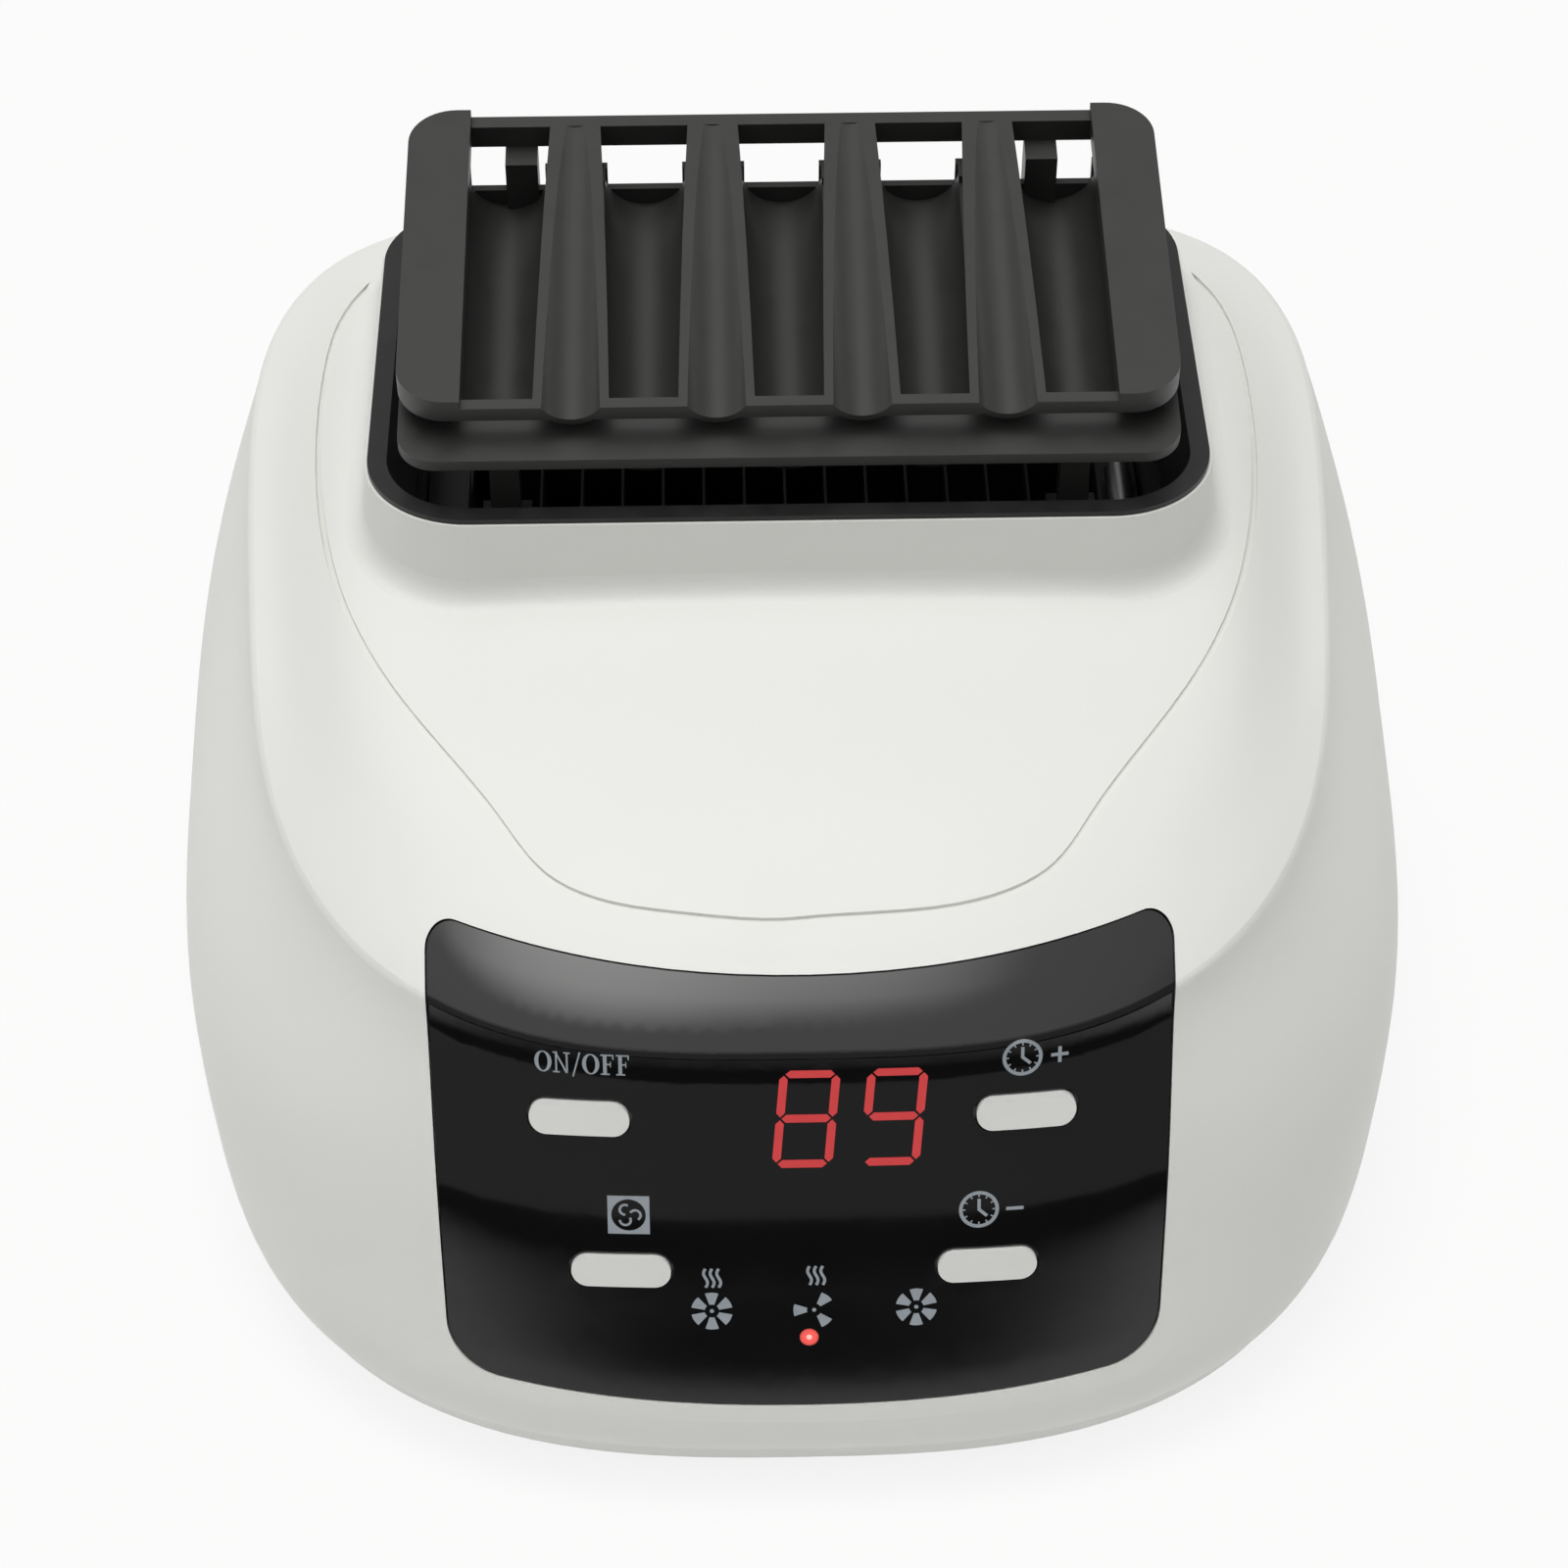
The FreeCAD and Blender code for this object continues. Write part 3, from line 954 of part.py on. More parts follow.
for index, (x, y, toward) in enumerate(POSTS):
    bosses.append(box("bezel_boss_%d" % index, "post_boss", "post_boss + 4", "6", x, "%s - %s * 2" % (y, toward),
                      "post_foot - 6"))
    drills.append(cylinder("bezel_drill_%d" % index, "screw_radius + 0.2", "10", x, y, "post_foot - 8"))
    tray_posts.append(box("tray_post_%d" % index, "post_width", "post_depth",
                          "11.5" if toward == "1" else "14.6", x, y, "post_foot"))
    post_pilots.append(cylinder("tray_pilot_%d" % index, "screw_radius", "9", x, y, "post_foot - 1"))
    shank = cylinder("hood_shank_%d" % index, "screw_radius", "13", x, y, "post_foot - 6")
    head = cylinder("hood_head_%d" % index, "screw_head_radius", "1.8", x, y, "post_foot - 7.8")
    hood_screws.append(fuse("hood_screw_%d" % index, [shank, head]))
opened = cut("bezel_opened", fuse("bezel_body", [rim, skirt]), [dish, throat])
inside = doc.addObject("Part::MultiCommon", "bezel_boss_set")
inside.Shapes = [fuse("bezel_bosses", bosses), skirt]
node(cut("bezel_piece", fuse("bezel_whole", [opened, inside]), drills), "outlet_bezel")
node(group("hood_screw_set", hood_screws), "hood_screws")

# Hood, built flat and then tilted about its front edge
TILT = FreeCAD.Rotation(AXIS_X, size("hood_tilt"))


def tilted(thing):
    thing.Placement = FreeCAD.Placement(V(0, size("hood_y"), size("hood_z")), TILT)
    return thing


def lying(name, radius, length, x, y, z, rise=0.0):
    return cylinder(name, radius, length, x, y, z, AXIS_X, rise - 90)


SLOPE = size("gutter_fall")


# Cover: two wings, front and rear bars, four shallow gutters
sheet_plate = rounded_plate("cover_sheet", "hood_width", "hood_length", "hood_round", "cover_thick + wing_rise",
                            "0", "hood_length / 2", "-cover_thick")
WINDOW_X = "hood_width - 2 * wing_width"
lowered = box("cover_lowered", WINDOW_X, "hood_length + 2", "10", "0", "hood_length / 2", "0")
window = box("cover_window", WINDOW_X, "hood_length - front_bar - rear_bar - 0.6", "20", "0",
             "(hood_length + front_bar + 0.6 - rear_bar) / 2", "-10")
beam = box("cover_beam", WINDOW_X + " + 2", "rear_bar", "rear_bar_fall", "0", "hood_length - rear_bar / 2",
           "-rear_bar_fall")
gutters = []
channels = []
for index in (-1.5, -0.5, 0.5, 1.5):
    x = "%s * gutter_pitch" % index
    name = "gutter_%d" % int(index + 1.5)
    pipe = lying(name + "_pipe", "gutter_radius + gutter_wall", "hood_length - 0.4", x, "0", "gutter_lift", SLOPE)
    lower = box(name + "_lower", "30", "hood_length + 2", "12", x, "hood_length / 2", "-12")
    half = doc.addObject("Part::Common", name)
    half.Base = pipe
    half.Tool = lower
    gutters.append(half)
    channels.append(lying(name + "_channel", "gutter_radius", "hood_length - rear_bar + 1", x, "-1",
                          "gutter_lift", SLOPE))
cover_body = fuse("cover_body", [cut("cover_frame", sheet_plate, [window, lowered]), beam] + gutters)
COVER_SCREWS = [("%d * side_rail_x" % a, b) for a in (-1, 1) for b in ("9", "hood_length - 12")]
cover_pilots = []
tray_drills = []
cover_screws = []
for index, (x, y) in enumerate(COVER_SCREWS):
    cover_pilots.append(cylinder("cover_pilot_%d" % index, "1", "2.5", x, y, "-1 - cover_thick + 0.2"))
    tray_drills.append(cylinder("tray_drill_%d" % index, "1.2", "12", x, y, "-tray_top - tray_plate - 4"))
    shank = cylinder("cover_shank_%d" % index, "1", "tray_top + tray_plate - 0.9", x, y, "-tray_top - tray_plate")
    head = cylinder("cover_head_%d" % index, "2", "1.4", x, y, "-tray_top - tray_plate - 1.4")
    cover_screws.append(fuse("cover_screw_%d" % index, [shank, head]))
node(tilted(cut("cover_piece", cover_body, channels + cover_pilots)), "hood_cover")
node(tilted(group("cover_screw_set", cover_screws)), "cover_screws")

# Tray: plate frame, five deep troughs, side rails, rear spacers, posts
TRAY_MIDDLE = "tray_length / 2 - tray_lead"
tray_sheet = rounded_plate("tray_sheet", "hood_width", "tray_length", "tray_round", "tray_plate", "0", TRAY_MIDDLE,
                           "-tray_top - tray_plate")
opening = box("tray_opening", "hood_width - 2 * wing_width + 3", "tray_length - tray_front_band - tray_rear_band",
              "20", "0", TRAY_MIDDLE + " + (tray_front_band - tray_rear_band) / 2", "-15")
troughs = []
channels = []
for index in (-2, -1, 0, 1, 2):
    x = "%d * gutter_pitch" % index
    name = "trough_%d" % (index + 2)
    pipe = lying(name + "_pipe", "trough_radius + trough_wall", "tray_length - tray_lead - 1", x, "1", "-trough_axis")
    lower = box(name + "_lower", "30", "tray_length + 2", "16", x, TRAY_MIDDLE, "-trough_axis - 16")
    half = doc.addObject("Part::Common", name)
    half.Base = pipe
    half.Tool = lower
    troughs.append(half)
    channels.append(lying(name + "_channel", "trough_radius", "tray_length - tray_front_band - trough_wall", x,
                          "tray_front_band - tray_lead", "-trough_axis"))
    channels.append(box(name + "_notch", "2 * sqrt(trough_radius ^ 2 - trough_rim ^ 2) + 0.8", "trough_wall + 2", "20", x,
                        "tray_length - tray_lead - trough_wall / 2 + 0.5", "-trough_axis - trough_rim"))
SPACER_HEIGHT = "trough_axis + trough_radius - rear_bar_fall + 0.6"
rails = []
for side in (-1, 1):
    rails.append(box("tray_rail_%d" % (side + 1), "side_rail", "hood_length - 8", "tray_top - cover_thick + 0.5",
                     "%d * side_rail_x" % side, "hood_length / 2", "-tray_top - 0.5"))
    rails.append(box("tray_spacer_%d" % (side + 1), "spacer_width", "spacer_depth", SPACER_HEIGHT,
                     "%d * spacer_x" % side, "hood_length - rear_bar / 2 - spacer_depth / 2",
                     "-trough_axis - trough_radius - 0.6"))
tray_body = cut("tray_cut", fuse("tray_body", [cut("tray_frame", tray_sheet, [opening])] + troughs), channels)
tray_flat = tilted(cut("tray_drilled", fuse("tray_railed", [tray_body] + rails), tray_drills))
node(cut("tray_piece", fuse("tray_posted", [tray_flat] + tray_posts), post_pilots), "hood_tray")

doc.recompute()
faults = []
for thing in doc.Objects:
    if "Invalid" in thing.State or "Error" in thing.State:
        faults.append(thing.Name)
for thing in nodes:
    if thing.Shape.isNull() or not thing.Shape.isValid() or not thing.Shape.Solids:
        faults.append(thing.Label)
if faults:
    raise ValueError("faulty pieces: " + ", ".join(faults))
os.makedirs("parts", exist_ok=True)
for thing in nodes:
    thing.Shape.exportStep("parts/%s.step" % thing.Label)
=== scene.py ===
import bpy
import json
import math
from mathutils import Matrix, Vector
from mathutils.bvhtree import BVHTree


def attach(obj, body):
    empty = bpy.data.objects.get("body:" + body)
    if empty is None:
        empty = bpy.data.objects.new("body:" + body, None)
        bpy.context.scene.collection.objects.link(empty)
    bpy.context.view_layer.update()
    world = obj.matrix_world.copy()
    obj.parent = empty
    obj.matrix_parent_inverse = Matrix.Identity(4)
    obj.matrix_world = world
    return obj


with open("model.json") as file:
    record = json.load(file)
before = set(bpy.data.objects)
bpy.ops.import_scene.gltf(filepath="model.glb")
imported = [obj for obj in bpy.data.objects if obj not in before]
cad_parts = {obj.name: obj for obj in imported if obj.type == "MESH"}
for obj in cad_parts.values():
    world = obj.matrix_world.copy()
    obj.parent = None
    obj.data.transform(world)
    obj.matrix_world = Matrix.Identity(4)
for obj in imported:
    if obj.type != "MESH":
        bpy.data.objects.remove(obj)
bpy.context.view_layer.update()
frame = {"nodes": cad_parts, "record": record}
nodes = frame["nodes"]

MM = 0.001

# The panel's plane: u runs right and v up along it, in millimetres, and w points out of it.
LEAN = math.radians(70)
PANEL = Matrix.Rotation(LEAN, 4, "X")
PANEL_OUT = (PANEL @ Vector((0, 0, 1))).normalized()
PANEL_CLEAR = 130 * MM
LIFT = 0.06 * MM

# Base colours, linear.
WHITE = (0.84, 0.845, 0.815)
HOOD = (0.030, 0.030, 0.029)
BEZEL = (0.010, 0.010, 0.010)
GLOSS = (0.0045, 0.0045, 0.005)
ICON = (0.36, 0.40, 0.44)
RED = (0.62, 0.045, 0.05)
DARK = (0.03, 0.03, 0.03)


def material(name):
    made = bpy.data.materials.new(name)
    made.use_nodes = True
    tree = made.node_tree
    return made, tree, tree.nodes["Principled BSDF"]


def noise(tree, scale, detail=4.0):
    place = tree.nodes.new("ShaderNodeTexCoord")
    grain = tree.nodes.new("ShaderNodeTexNoise")
    grain.inputs["Scale"].default_value = scale
    grain.inputs["Detail"].default_value = detail
    tree.links.new(place.outputs["Object"], grain.inputs["Vector"])
    return grain


def ramp(tree, value, start, stop, low, high, kind="SMOOTHSTEP"):
    made = tree.nodes.new("ShaderNodeMapRange")
    made.interpolation_type = kind
    for name, number in (("From Min", start), ("From Max", stop), ("To Min", low), ("To Max", high)):
        made.inputs[name].default_value = number
    tree.links.new(value, made.inputs["Value"])
    return made.outputs["Result"]


def combine(tree, operation, first, second):
    made = tree.nodes.new("ShaderNodeMath")
    made.operation = operation
    tree.links.new(first, made.inputs[0])
    tree.links.new(second, made.inputs[1])
    return made.outputs["Value"]


def blend(tree, share, first, second):
    made = tree.nodes.new("ShaderNodeMixShader")
    tree.links.new(share, made.inputs["Fac"])
    tree.links.new(first, made.inputs[1])
    tree.links.new(second, made.inputs[2])
    return made.outputs["Shader"]


def tint(tree, grain, color, share):
    """The colour, varied by the share up and down with the grain."""
    mix = tree.nodes.new("ShaderNodeMix")
    mix.data_type = "RGBA"
    mix.inputs["A"].default_value = tuple(c * (1 - share) for c in color) + (1,)
    mix.inputs["B"].default_value = tuple(min(1, c * (1 + share)) for c in color) + (1,)
    tree.links.new(grain.outputs["Fac"], mix.inputs["Factor"])
    return mix.outputs["Result"]


def surface(name, color, rough, scale=300, share=0.03, swing=0.04, metal=0.0, bump=0.0):
    """A material whose colour varies by share and whose roughness varies by swing, with optional fine bump."""
    made, tree, shader = material(name)
    grain = noise(tree, scale)
    tree.links.new(tint(tree, grain, color, share), shader.inputs["Base Color"])
    varied = ramp(tree, grain.outputs["Fac"], 0.3, 0.7, rough - swing, rough + swing, "LINEAR")
    tree.links.new(varied, shader.inputs["Roughness"])
    shader.inputs["Metallic"].default_value = metal
    if bump:
        fine = noise(tree, scale * 8, 2.0)
        relief = tree.nodes.new("ShaderNodeBump")
        relief.inputs["Strength"].default_value = bump
        relief.inputs["Distance"].default_value = 0.1 * MM
        tree.links.new(fine.outputs["Fac"], relief.inputs["Height"])
        tree.links.new(relief.outputs["Normal"], shader.inputs["Normal"])
    return made


def glow(name, color, strength, base):
    """A lit surface over the base colour."""
    made, tree, shader = material(name)
    grain = noise(tree, 500)
    tree.links.new(tint(tree, grain, base, 0.08), shader.inputs["Base Color"])
    tree.links.new(tint(tree, grain, color, 0.10), shader.inputs["Emission Color"])
    shader.inputs["Emission Strength"].default_value = strength
    shader.inputs["Roughness"].default_value = 0.4
    return made


FINISH = {
    "white_shell": surface("shell white", WHITE, 0.42, 60, 0.008, 0.03, bump=0.02),
    "white_base": surface("base white", (0.82, 0.82, 0.80), 0.45, 60, 0.01, 0.03),
    "foot_rubber": surface("rubber", DARK, 0.8),
    "screw_steel": surface("steel", (0.55, 0.55, 0.55), 0.35, metal=1.0),
    "gloss_black": surface("panel gloss", GLOSS, 0.07, 40, 0.05, 0.015),
    "button_white": surface("button white", (0.86, 0.86, 0.84), 0.4, 200, 0.01),
    "switch_black": surface("switch black", DARK, 0.5),
    "board_green": surface("board green", (0.02, 0.10, 0.05), 0.45),
    "display_black": surface("display black", (0.02, 0.02, 0.02), 0.5),
    "digit_red": glow("digit bars", RED, 0.3, (0.4, 0.02, 0.02)),
    "lamp_red": surface("lamp lens", (0.5, 0.04, 0.03), 0.25),
    "filter_grey": surface("filter grey", (0.20, 0.20, 0.21), 0.8, 900, 0.2),
    "inner_black": surface("inner black", DARK, 0.55),
    "bearing_brass": surface("brass", (0.70, 0.50, 0.20), 0.3, metal=1.0),
    "motor_steel": surface("stator", (0.40, 0.30, 0.22), 0.4, metal=0.8),
    # Painted shade: the cream duct and the aluminium heater inside get near-black colours, standing in for the shade
    # inside the housing seen through the outlet.
    "duct_cream": surface("duct", (0.05, 0.05, 0.05), 0.6),
    "heater_plastic": surface("heater ends", (0.04, 0.04, 0.04), 0.6),
    "heater_aluminium": surface("heater metal", (0.022, 0.022, 0.022), 0.6),
    "relay_blue": surface("relay blue", (0.05, 0.12, 0.35), 0.45),
    "terminal_green": surface("terminal green", (0.05, 0.30, 0.12), 0.5),
    "hood_black": surface("bezel black", BEZEL, 0.38, 250, 0.08, 0.05, bump=0.03),
    "hood_charcoal": surface("hood charcoal", HOOD, 0.42, 250, 0.06, 0.05, bump=0.04),
}
for part in frame["record"]["subparts"]:
    piece = nodes[part["node"]]
    piece.data.materials.clear()
    piece.data.materials.append(FINISH[part["material_slot"]])

# The printed marks and lit digits lie on the curved face of the panel.
panel_mesh = nodes["control_panel"].data
panel_tree = BVHTree.FromPolygons([v.co for v in panel_mesh.vertices],
                                  [p.vertices for p in panel_mesh.polygons])


def on_panel(u, v):
    start = PANEL @ Vector((u * MM, v * MM, PANEL_CLEAR))
    point = panel_tree.ray_cast(start, -PANEL_OUT)[0]
    return point + PANEL_OUT * LIFT


def decal(name, shapes, finish):
    """Adds the flat shapes, given as (u, v) outlines, as one piece that lies on the panel."""
    corners = []
    faces = []
    for shape in shapes:
        faces.append(list(range(len(corners), len(corners) + len(shape))))
        corners.extend(on_panel(u, v) for u, v in shape)
    mesh = bpy.data.meshes.new(name)
    mesh.from_pydata(corners, [], faces)
    mesh.materials.append(finish)
    piece = bpy.data.objects.new(name, mesh)
    bpy.context.scene.collection.objects.link(piece)
    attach(piece, "body")


def stroke(points, width):
    quads = []
    for (ax, ay), (bx, by) in zip(points, points[1:]):
        run = math.hypot(bx - ax, by - ay)
        px = -(by - ay) / run * width / 2
        py = (bx - ax) / run * width / 2
        quads.append([(ax + px, ay + py), (ax - px, ay - py), (bx - px, by - py), (bx + px, by + py)])
    return quads


def arc(cx, cy, radius, first, last, steps):
    points = []
    for step in range(steps + 1):
        turn = math.radians(first + (last - first) * step / steps)
        points.append((cx + radius * math.cos(turn), cy + radius * math.sin(turn)))
    return points


def disc(cx, cy, radius, steps):
    return arc(cx, cy, radius, 0, 360, steps)[:-1]


def sector(cx, cy, inner, outer, first, last):
    return arc(cx, cy, inner, first, last, 4) + arc(cx, cy, outer, last, first, 6)


def fan_icon(cx, cy, turns, outer=2.85, inner=1.0, half=19):
    blades = [sector(cx, cy, inner, outer, turn - half, turn + half) for turn in turns]
    return blades + [disc(cx, cy, 0.3, 10)]


def heat_icon(cx, cy, height=2.9):
    quads = []
    for shift in (-0.9, 0.0, 0.9):
        points = []
        for step in range(9):
            v = cy - height / 2 + height * step / 8
            points.append((cx + shift + 0.28 * math.sin(step / 8 * 2 * math.pi), v))
        quads += stroke(points, 0.42)
    return quads


def clock_icon(cx, cy):
    quads = stroke(arc(cx, cy, 2.5, 0, 360, 36), 0.5)
    quads += stroke([(cx, cy + 1.6), (cx, cy - 0.1)], 0.45)
    quads += stroke([(cx - 0.1, cy + 0.1), (cx + 1.1, cy - 1.0)], 0.45)
    for turn in range(0, 360, 30):
        quads += stroke([arc(cx, cy, 1.85, turn, turn, 1)[0], arc(cx, cy, 2.3, turn, turn, 1)[0]], 0.2)
    return quads


def oval(width, thick, thin, steps=28):
    """The letter O, one unit high, thick at its sides and thin at top and foot."""
    quads = []
    for step in range(steps):
        rim = []
        for turn in (2 * math.pi * step / steps, 2 * math.pi * (step + 1) / steps):
            c = math.cos(turn)
            s = math.sin(turn)
            rim.append(((width / 2 * c, 0.5 + 0.5 * s), ((width / 2 - thick) * c, 0.5 + (0.5 - thin) * s)))
        quads.append([rim[0][0], rim[1][0], rim[1][1], rim[0][1]])
    return [[(x + width / 2, y) for x, y in quad] for quad in quads]


def bar(left, low, right, high):
    return [(left, low), (right, low), (right, high), (left, high)]


# Serif capitals one unit high, each with its width.
SERIF = 0.07
LETTER_O = (0.74, oval(0.74, 0.17, 0.06))
TOP = 1 - SERIF
LETTER_N = (0.78, [
    bar(0.12, SERIF, 0.20, TOP), bar(0.58, SERIF, 0.66, TOP),
    [(0.20, TOP), (0.12, TOP), (0.56, 0.0), (0.66, 0.0)],
    bar(0.02, 0, 0.30, SERIF), bar(0.02, TOP, 0.22, 1), bar(0.48, TOP, 0.76, 1),
])
LETTER_F = (0.62, [
    bar(0.12, SERIF, 0.28, TOP), bar(0.02, 0, 0.40, SERIF), bar(0.02, TOP, 0.58, 1),
    bar(0.28, 0.48, 0.46, 0.48 + SERIF), bar(0.52, 0.76, 0.58, TOP),
    bar(0.42, 0.38, 0.46, 0.48), bar(0.42, 0.48 + SERIF, 0.46, 0.66),
])
LETTER_SLASH = (0.42, [[(0.02, -0.14), (0.09, -0.14), (0.40, 1.04), (0.33, 1.04)]])


def serif_shapes(letters, cx, cy, height, spacing=0.035):
    full = sum(width + spacing for width, quads in letters) - spacing
    pen = -full / 2
    shapes = []
    for width, quads in letters:
        for quad in quads:
            shapes.append([(cx + (pen + x) * height, cy + (y - 0.5) * height) for x, y in quad])
        pen += width + spacing
    return shapes


def digit_shapes(cx, cy, bars, height=14.2, width=8.2, thick=1.15, slant=0.09, gap=0.22, tip=0.02):
    """The lit bars of a seven-segment digit, each pointed at both ends."""
    half = height / 2 - thick / 2
    side = width / 2 - thick / 2
    spots = {
        "a": ((-side, half), (side, half)), "g": ((-side, 0), (side, 0)), "d": ((-side, -half), (side, -half)),
        "f": ((-side, 0), (-side, half)), "b": ((side, 0), (side, half)),
        "e": ((-side, -half), (-side, 0)), "c": ((side, -half), (side, 0)),
    }
    shapes = []
    for name in bars:
        (ax, ay), (bx, by) = spots[name]
        run = math.hypot(bx - ax, by - ay)
        dx = (bx - ax) / run
        dy = (by - ay) / run
        stops = [gap, gap + thick / 2, run / 2, run - gap - thick / 2, run - gap]
        wide = [tip, thick / 2, thick / 2, thick / 2, tip]
        rails = []
        for stop, reach in zip(stops, wide):
            px = ax + dx * stop
            py = ay + dy * stop
            rails.append(((px - dy * reach, py + dx * reach), (px + dy * reach, py - dx * reach)))
        for (la, ra), (lb, rb) in zip(rails, rails[1:]):
            shapes.append([(cx + x + slant * y, cy + y) for x, y in (la, ra, rb, lb)])
    return shapes


print_grey = surface("printed grey", ICON, 0.5, 600, 0.08)
digit_glow = glow("lit digits", RED, 0.68, (0.20, 0.02, 0.02))
core_glow = glow("lamp core", (1.0, 0.42, 0.38), 1.0, (0.4, 0.2, 0.2))
lamp_glow = glow("lit lamp", (0.85, 0.10, 0.08), 0.9, (0.3, 0.03, 0.03))

ON_OFF = [LETTER_O, LETTER_N, LETTER_SLASH, LETTER_O, LETTER_F, LETTER_F]
MODE = (-23.8, 15.6)
LAMP = (0.6, -3.3)
SIX_BLADES = range(30, 390, 60)
THREE_BLADES = (50, -50, 180)
SIGN = 0.5

# The mode mark: a square plate with a round window, and three curls in it.
plate = []
for index in range(24):
    near = arc(0, 0, 2.35, index * 15, index * 15 + 15, 1)
    far = []
    for x, y in near:
        reach = 2.85 / max(abs(x), abs(y))
        far.append((x * reach, y * reach))
    plate.append([(MODE[0] + x, MODE[1] + y) for x, y in (near[0], far[0], far[1], near[1])])
for turn in (0, 120, 240):
    cx = MODE[0] + 0.9 * math.cos(math.radians(turn))
    cy = MODE[1] + 0.9 * math.sin(math.radians(turn))
    plate += stroke(arc(cx, cy, 0.75, turn - 60, turn + 150, 8), 0.35)

plus = stroke([(33.5, 37.3), (35.9, 37.3)], SIGN)
plus += stroke([(34.7, 36.1), (34.7, 37.05)], SIGN) + stroke([(34.7, 37.55), (34.7, 38.5)], SIGN)
minus = stroke([(27.5, 15.5), (29.9, 15.5)], SIGN)

for name, shapes in (
    ("print_on_off", serif_shapes(ON_OFF, -29.6, 37.5, 3.15)),
    ("print_clock_up", clock_icon(29.6, 37.4) + plus),
    ("print_clock_down", clock_icon(23.8, 15.6) + minus),
    ("print_mode", plate),
    ("print_heat_fast", heat_icon(-12.6, 6.0) + fan_icon(-12.7, 0.9, SIX_BLADES)),
    ("print_heat_slow", heat_icon(1.6, 6.2) + fan_icon(1.3, 0.9, THREE_BLADES)),
    ("print_cool", fan_icon(15.3, 1.0, SIX_BLADES)),
):
    decal(name, shapes, print_grey)
decal("lit_digit_left", digit_shapes(0.4, 29.6, "abcdefg"), digit_glow)
decal("lit_digit_right", digit_shapes(12.2, 29.7, "abcdfg"), digit_glow)
decal("lit_lamp", stroke(arc(*LAMP, 0.85, 0, 360, 20), 0.9), lamp_glow)
decal("lit_lamp_core", [disc(*LAMP, 0.4, 16)], core_glow)

# Smooth shading, with edges sharper than this kept.
SHARP = math.radians(32)
for piece in nodes.values():
    piece.data.shade_smooth()
    piece.data.set_sharp_from_angle(angle=SHARP)


def mirrored(tree, share):
    """Share, for rays that come by way of a reflection or through glass."""
    path = tree.nodes.new("ShaderNodeLightPath")
    either = combine(tree, "MAXIMUM", path.outputs["Is Glossy Ray"], path.outputs["Is Transmission Ray"])
    return combine(tree, "MULTIPLY", either, share)


def background_rays(tree, behind):
    """Rays that see the white background: the camera's, and mirrored ones where behind is 1."""
    path = tree.nodes.new("ShaderNodeLightPath")
    return combine(tree, "MAXIMUM", path.outputs["Is Camera Ray"], mirrored(tree, behind))


# Floor: nearly white, with a faint shadow, and clear from below. A dark flag ahead of the part, between the two y
# places below, shows only in reflections.
HALF = 0.5
DROP = -0.1 * MM
FLAG_FULL = -0.30
FLAG_NONE = -0.12
WHITE_SHARE = 0.85
floor_mesh = bpy.data.meshes.new("floor")
floor_mesh.from_pydata([(-HALF, -HALF, DROP), (HALF, -HALF, DROP), (HALF, HALF, DROP), (-HALF, HALF, DROP)],
                       [], [(0, 1, 2, 3)])
floor = bpy.data.objects.new("floor", floor_mesh)
bpy.context.scene.collection.objects.link(floor)
paper, paper_tree, paper_shader = material("paper")
paper_color = tint(paper_tree, noise(paper_tree, 6), (0.80, 0.80, 0.79), 0.01)
paper_tree.links.new(paper_color, paper_shader.inputs["Base Color"])
paper_shader.inputs["Roughness"].default_value = 0.9
bright = paper_tree.nodes.new("ShaderNodeEmission")
bright.inputs["Color"].default_value = (1, 1, 1, 1)
flag = paper_tree.nodes.new("ShaderNodeEmission")
flag.inputs["Color"].default_value = DARK + (1,)
clear = paper_tree.nodes.new("ShaderNodeBsdfTransparent")
sides = paper_tree.nodes.new("ShaderNodeNewGeometry")
place = paper_tree.nodes.new("ShaderNodeTexCoord")
spot = paper_tree.nodes.new("ShaderNodeSeparateXYZ")
paper_tree.links.new(place.outputs["Object"], spot.inputs["Vector"])
open_floor = ramp(paper_tree, spot.outputs["Y"], FLAG_FULL, FLAG_NONE, 0.0, 1.0)
flagged = ramp(paper_tree, spot.outputs["Y"], FLAG_FULL, FLAG_NONE, 1.0, 0.0)
whitened = ramp(paper_tree, background_rays(paper_tree, open_floor), 0, 1, 0, WHITE_SHARE)
look = blend(paper_tree, whitened, paper_shader.outputs["BSDF"], bright.outputs["Emission"])
look = blend(paper_tree, mirrored(paper_tree, flagged), look, flag.outputs["Emission"])
look = blend(paper_tree, sides.outputs["Backfacing"], look, clear.outputs["BSDF"])
paper_tree.links.new(look, paper_tree.nodes["Material Output"].inputs["Surface"])
floor_mesh.materials.append(paper)

# A wide soft light and a tighter one overhead, weaker to the right, in a dim surround, with a white backdrop behind.
world = bpy.data.worlds.new("studio")
bpy.context.scene.world = world
world.use_nodes = True
sky = world.node_tree
ambient = sky.nodes["Background"]
ambient.inputs["Color"].default_value = (1.0, 1.0, 0.99, 1)
ray = sky.nodes.new("ShaderNodeTexCoord")
split = sky.nodes.new("ShaderNodeSeparateXYZ")
sky.links.new(ray.outputs["Generated"], split.inputs["Vector"])


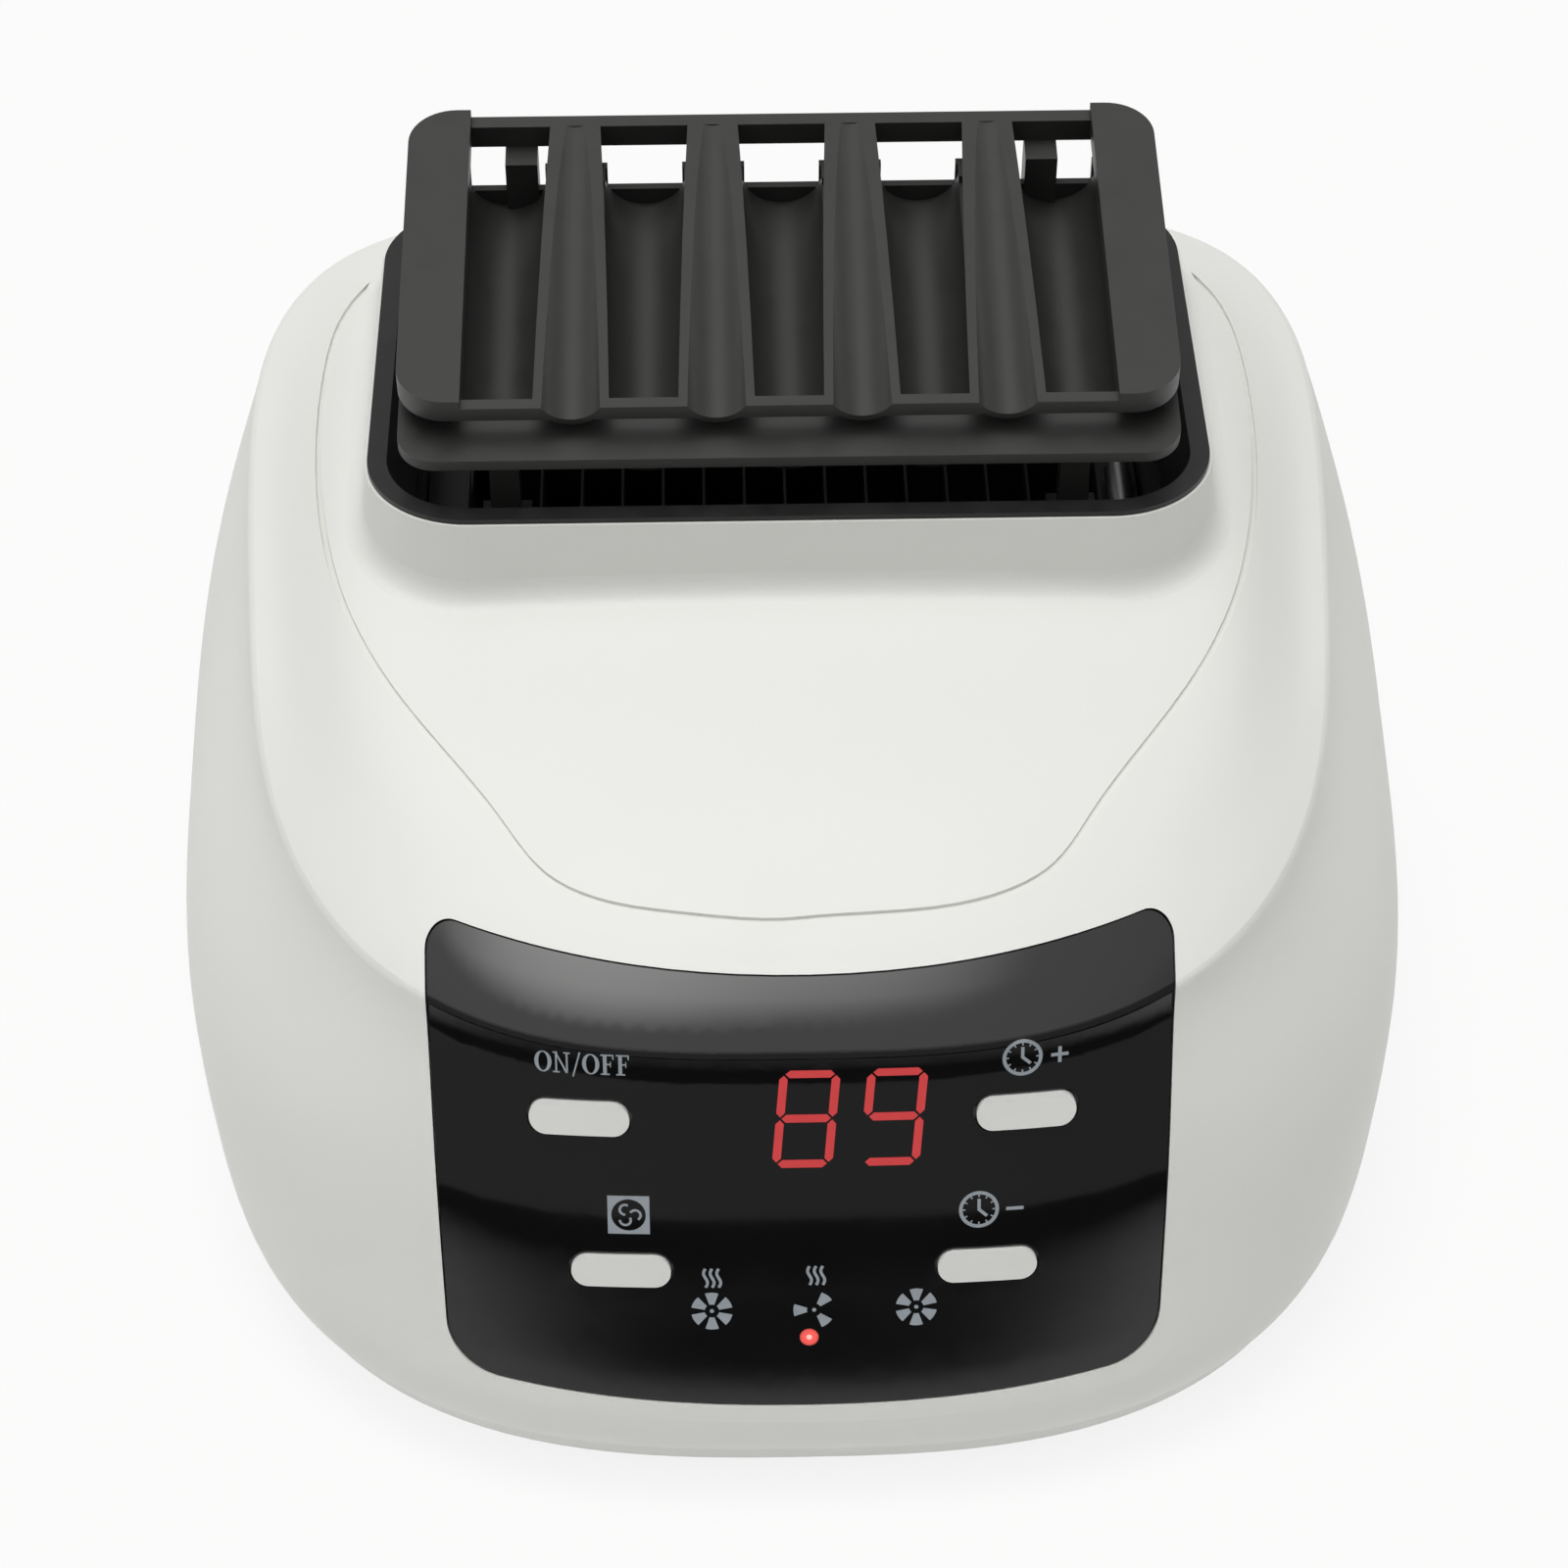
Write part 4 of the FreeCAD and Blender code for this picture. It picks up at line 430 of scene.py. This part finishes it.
def lamp(axis, start, stop, low, high):
    """Light round an axis: low to high as the cosine of the angle from it goes from start to stop."""
    toward = sky.nodes.new("ShaderNodeVectorMath")
    toward.operation = "DOT_PRODUCT"
    toward.inputs[1].default_value = Vector(axis).normalized()
    sky.links.new(ray.outputs["Generated"], toward.inputs[0])
    return ramp(sky, toward.outputs["Value"], start, stop, low, high)


wide = lamp((-0.06, -0.08, 1.0), 0.62, 0.94, 0.34, 1.3)
tight = lamp((-0.09, 0.06, 1.0), 0.945, 1.0, 0.0, 5.3)
side = ramp(sky, split.outputs["X"], -0.25, 0.55, 1.0, 0.86)
both = combine(sky, "ADD", wide, tight)
sky.links.new(combine(sky, "MULTIPLY", both, side), ambient.inputs["Strength"])
behind = combine(sky, "MULTIPLY", ramp(sky, split.outputs["Y"], 0.1, 0.4, 0.0, 1.0),
                 ramp(sky, split.outputs["Z"], 0.25, 0.45, 1.0, 0.0))
backdrop = sky.nodes.new("ShaderNodeBackground")
backdrop.inputs["Color"].default_value = (1, 1, 1, 1)
seen = blend(sky, background_rays(sky, behind), ambient.outputs["Background"], backdrop.outputs["Background"])
sky.links.new(seen, sky.nodes["World Output"].inputs["Surface"])

# The camera fitted to the photo's silhouette.
TARGET = Vector((0, 0, 0.054))
DISTANCE = 0.630
RISE = math.radians(41)
SWING = math.radians(-1.26)
LENS_MM = 97.5
SENSOR_MM = 36.0
SHIFT_PX = -7.35
PHOTO_PX = 1600
eye = bpy.data.cameras.new("camera")
eye.lens = LENS_MM
eye.sensor_width = SENSOR_MM
eye.shift_x = SHIFT_PX / PHOTO_PX
eye.clip_start = 0.01
camera = bpy.data.objects.new("camera", eye)
back = Vector((math.sin(SWING) * math.cos(RISE), -math.cos(SWING) * math.cos(RISE), math.sin(RISE)))
camera.location = TARGET + back * DISTANCE
camera.rotation_euler = (-back).to_track_quat("-Z", "Y").to_euler()
bpy.context.scene.collection.objects.link(camera)
bpy.context.scene.camera = camera
bpy.context.scene.view_settings.view_transform = "Standard"
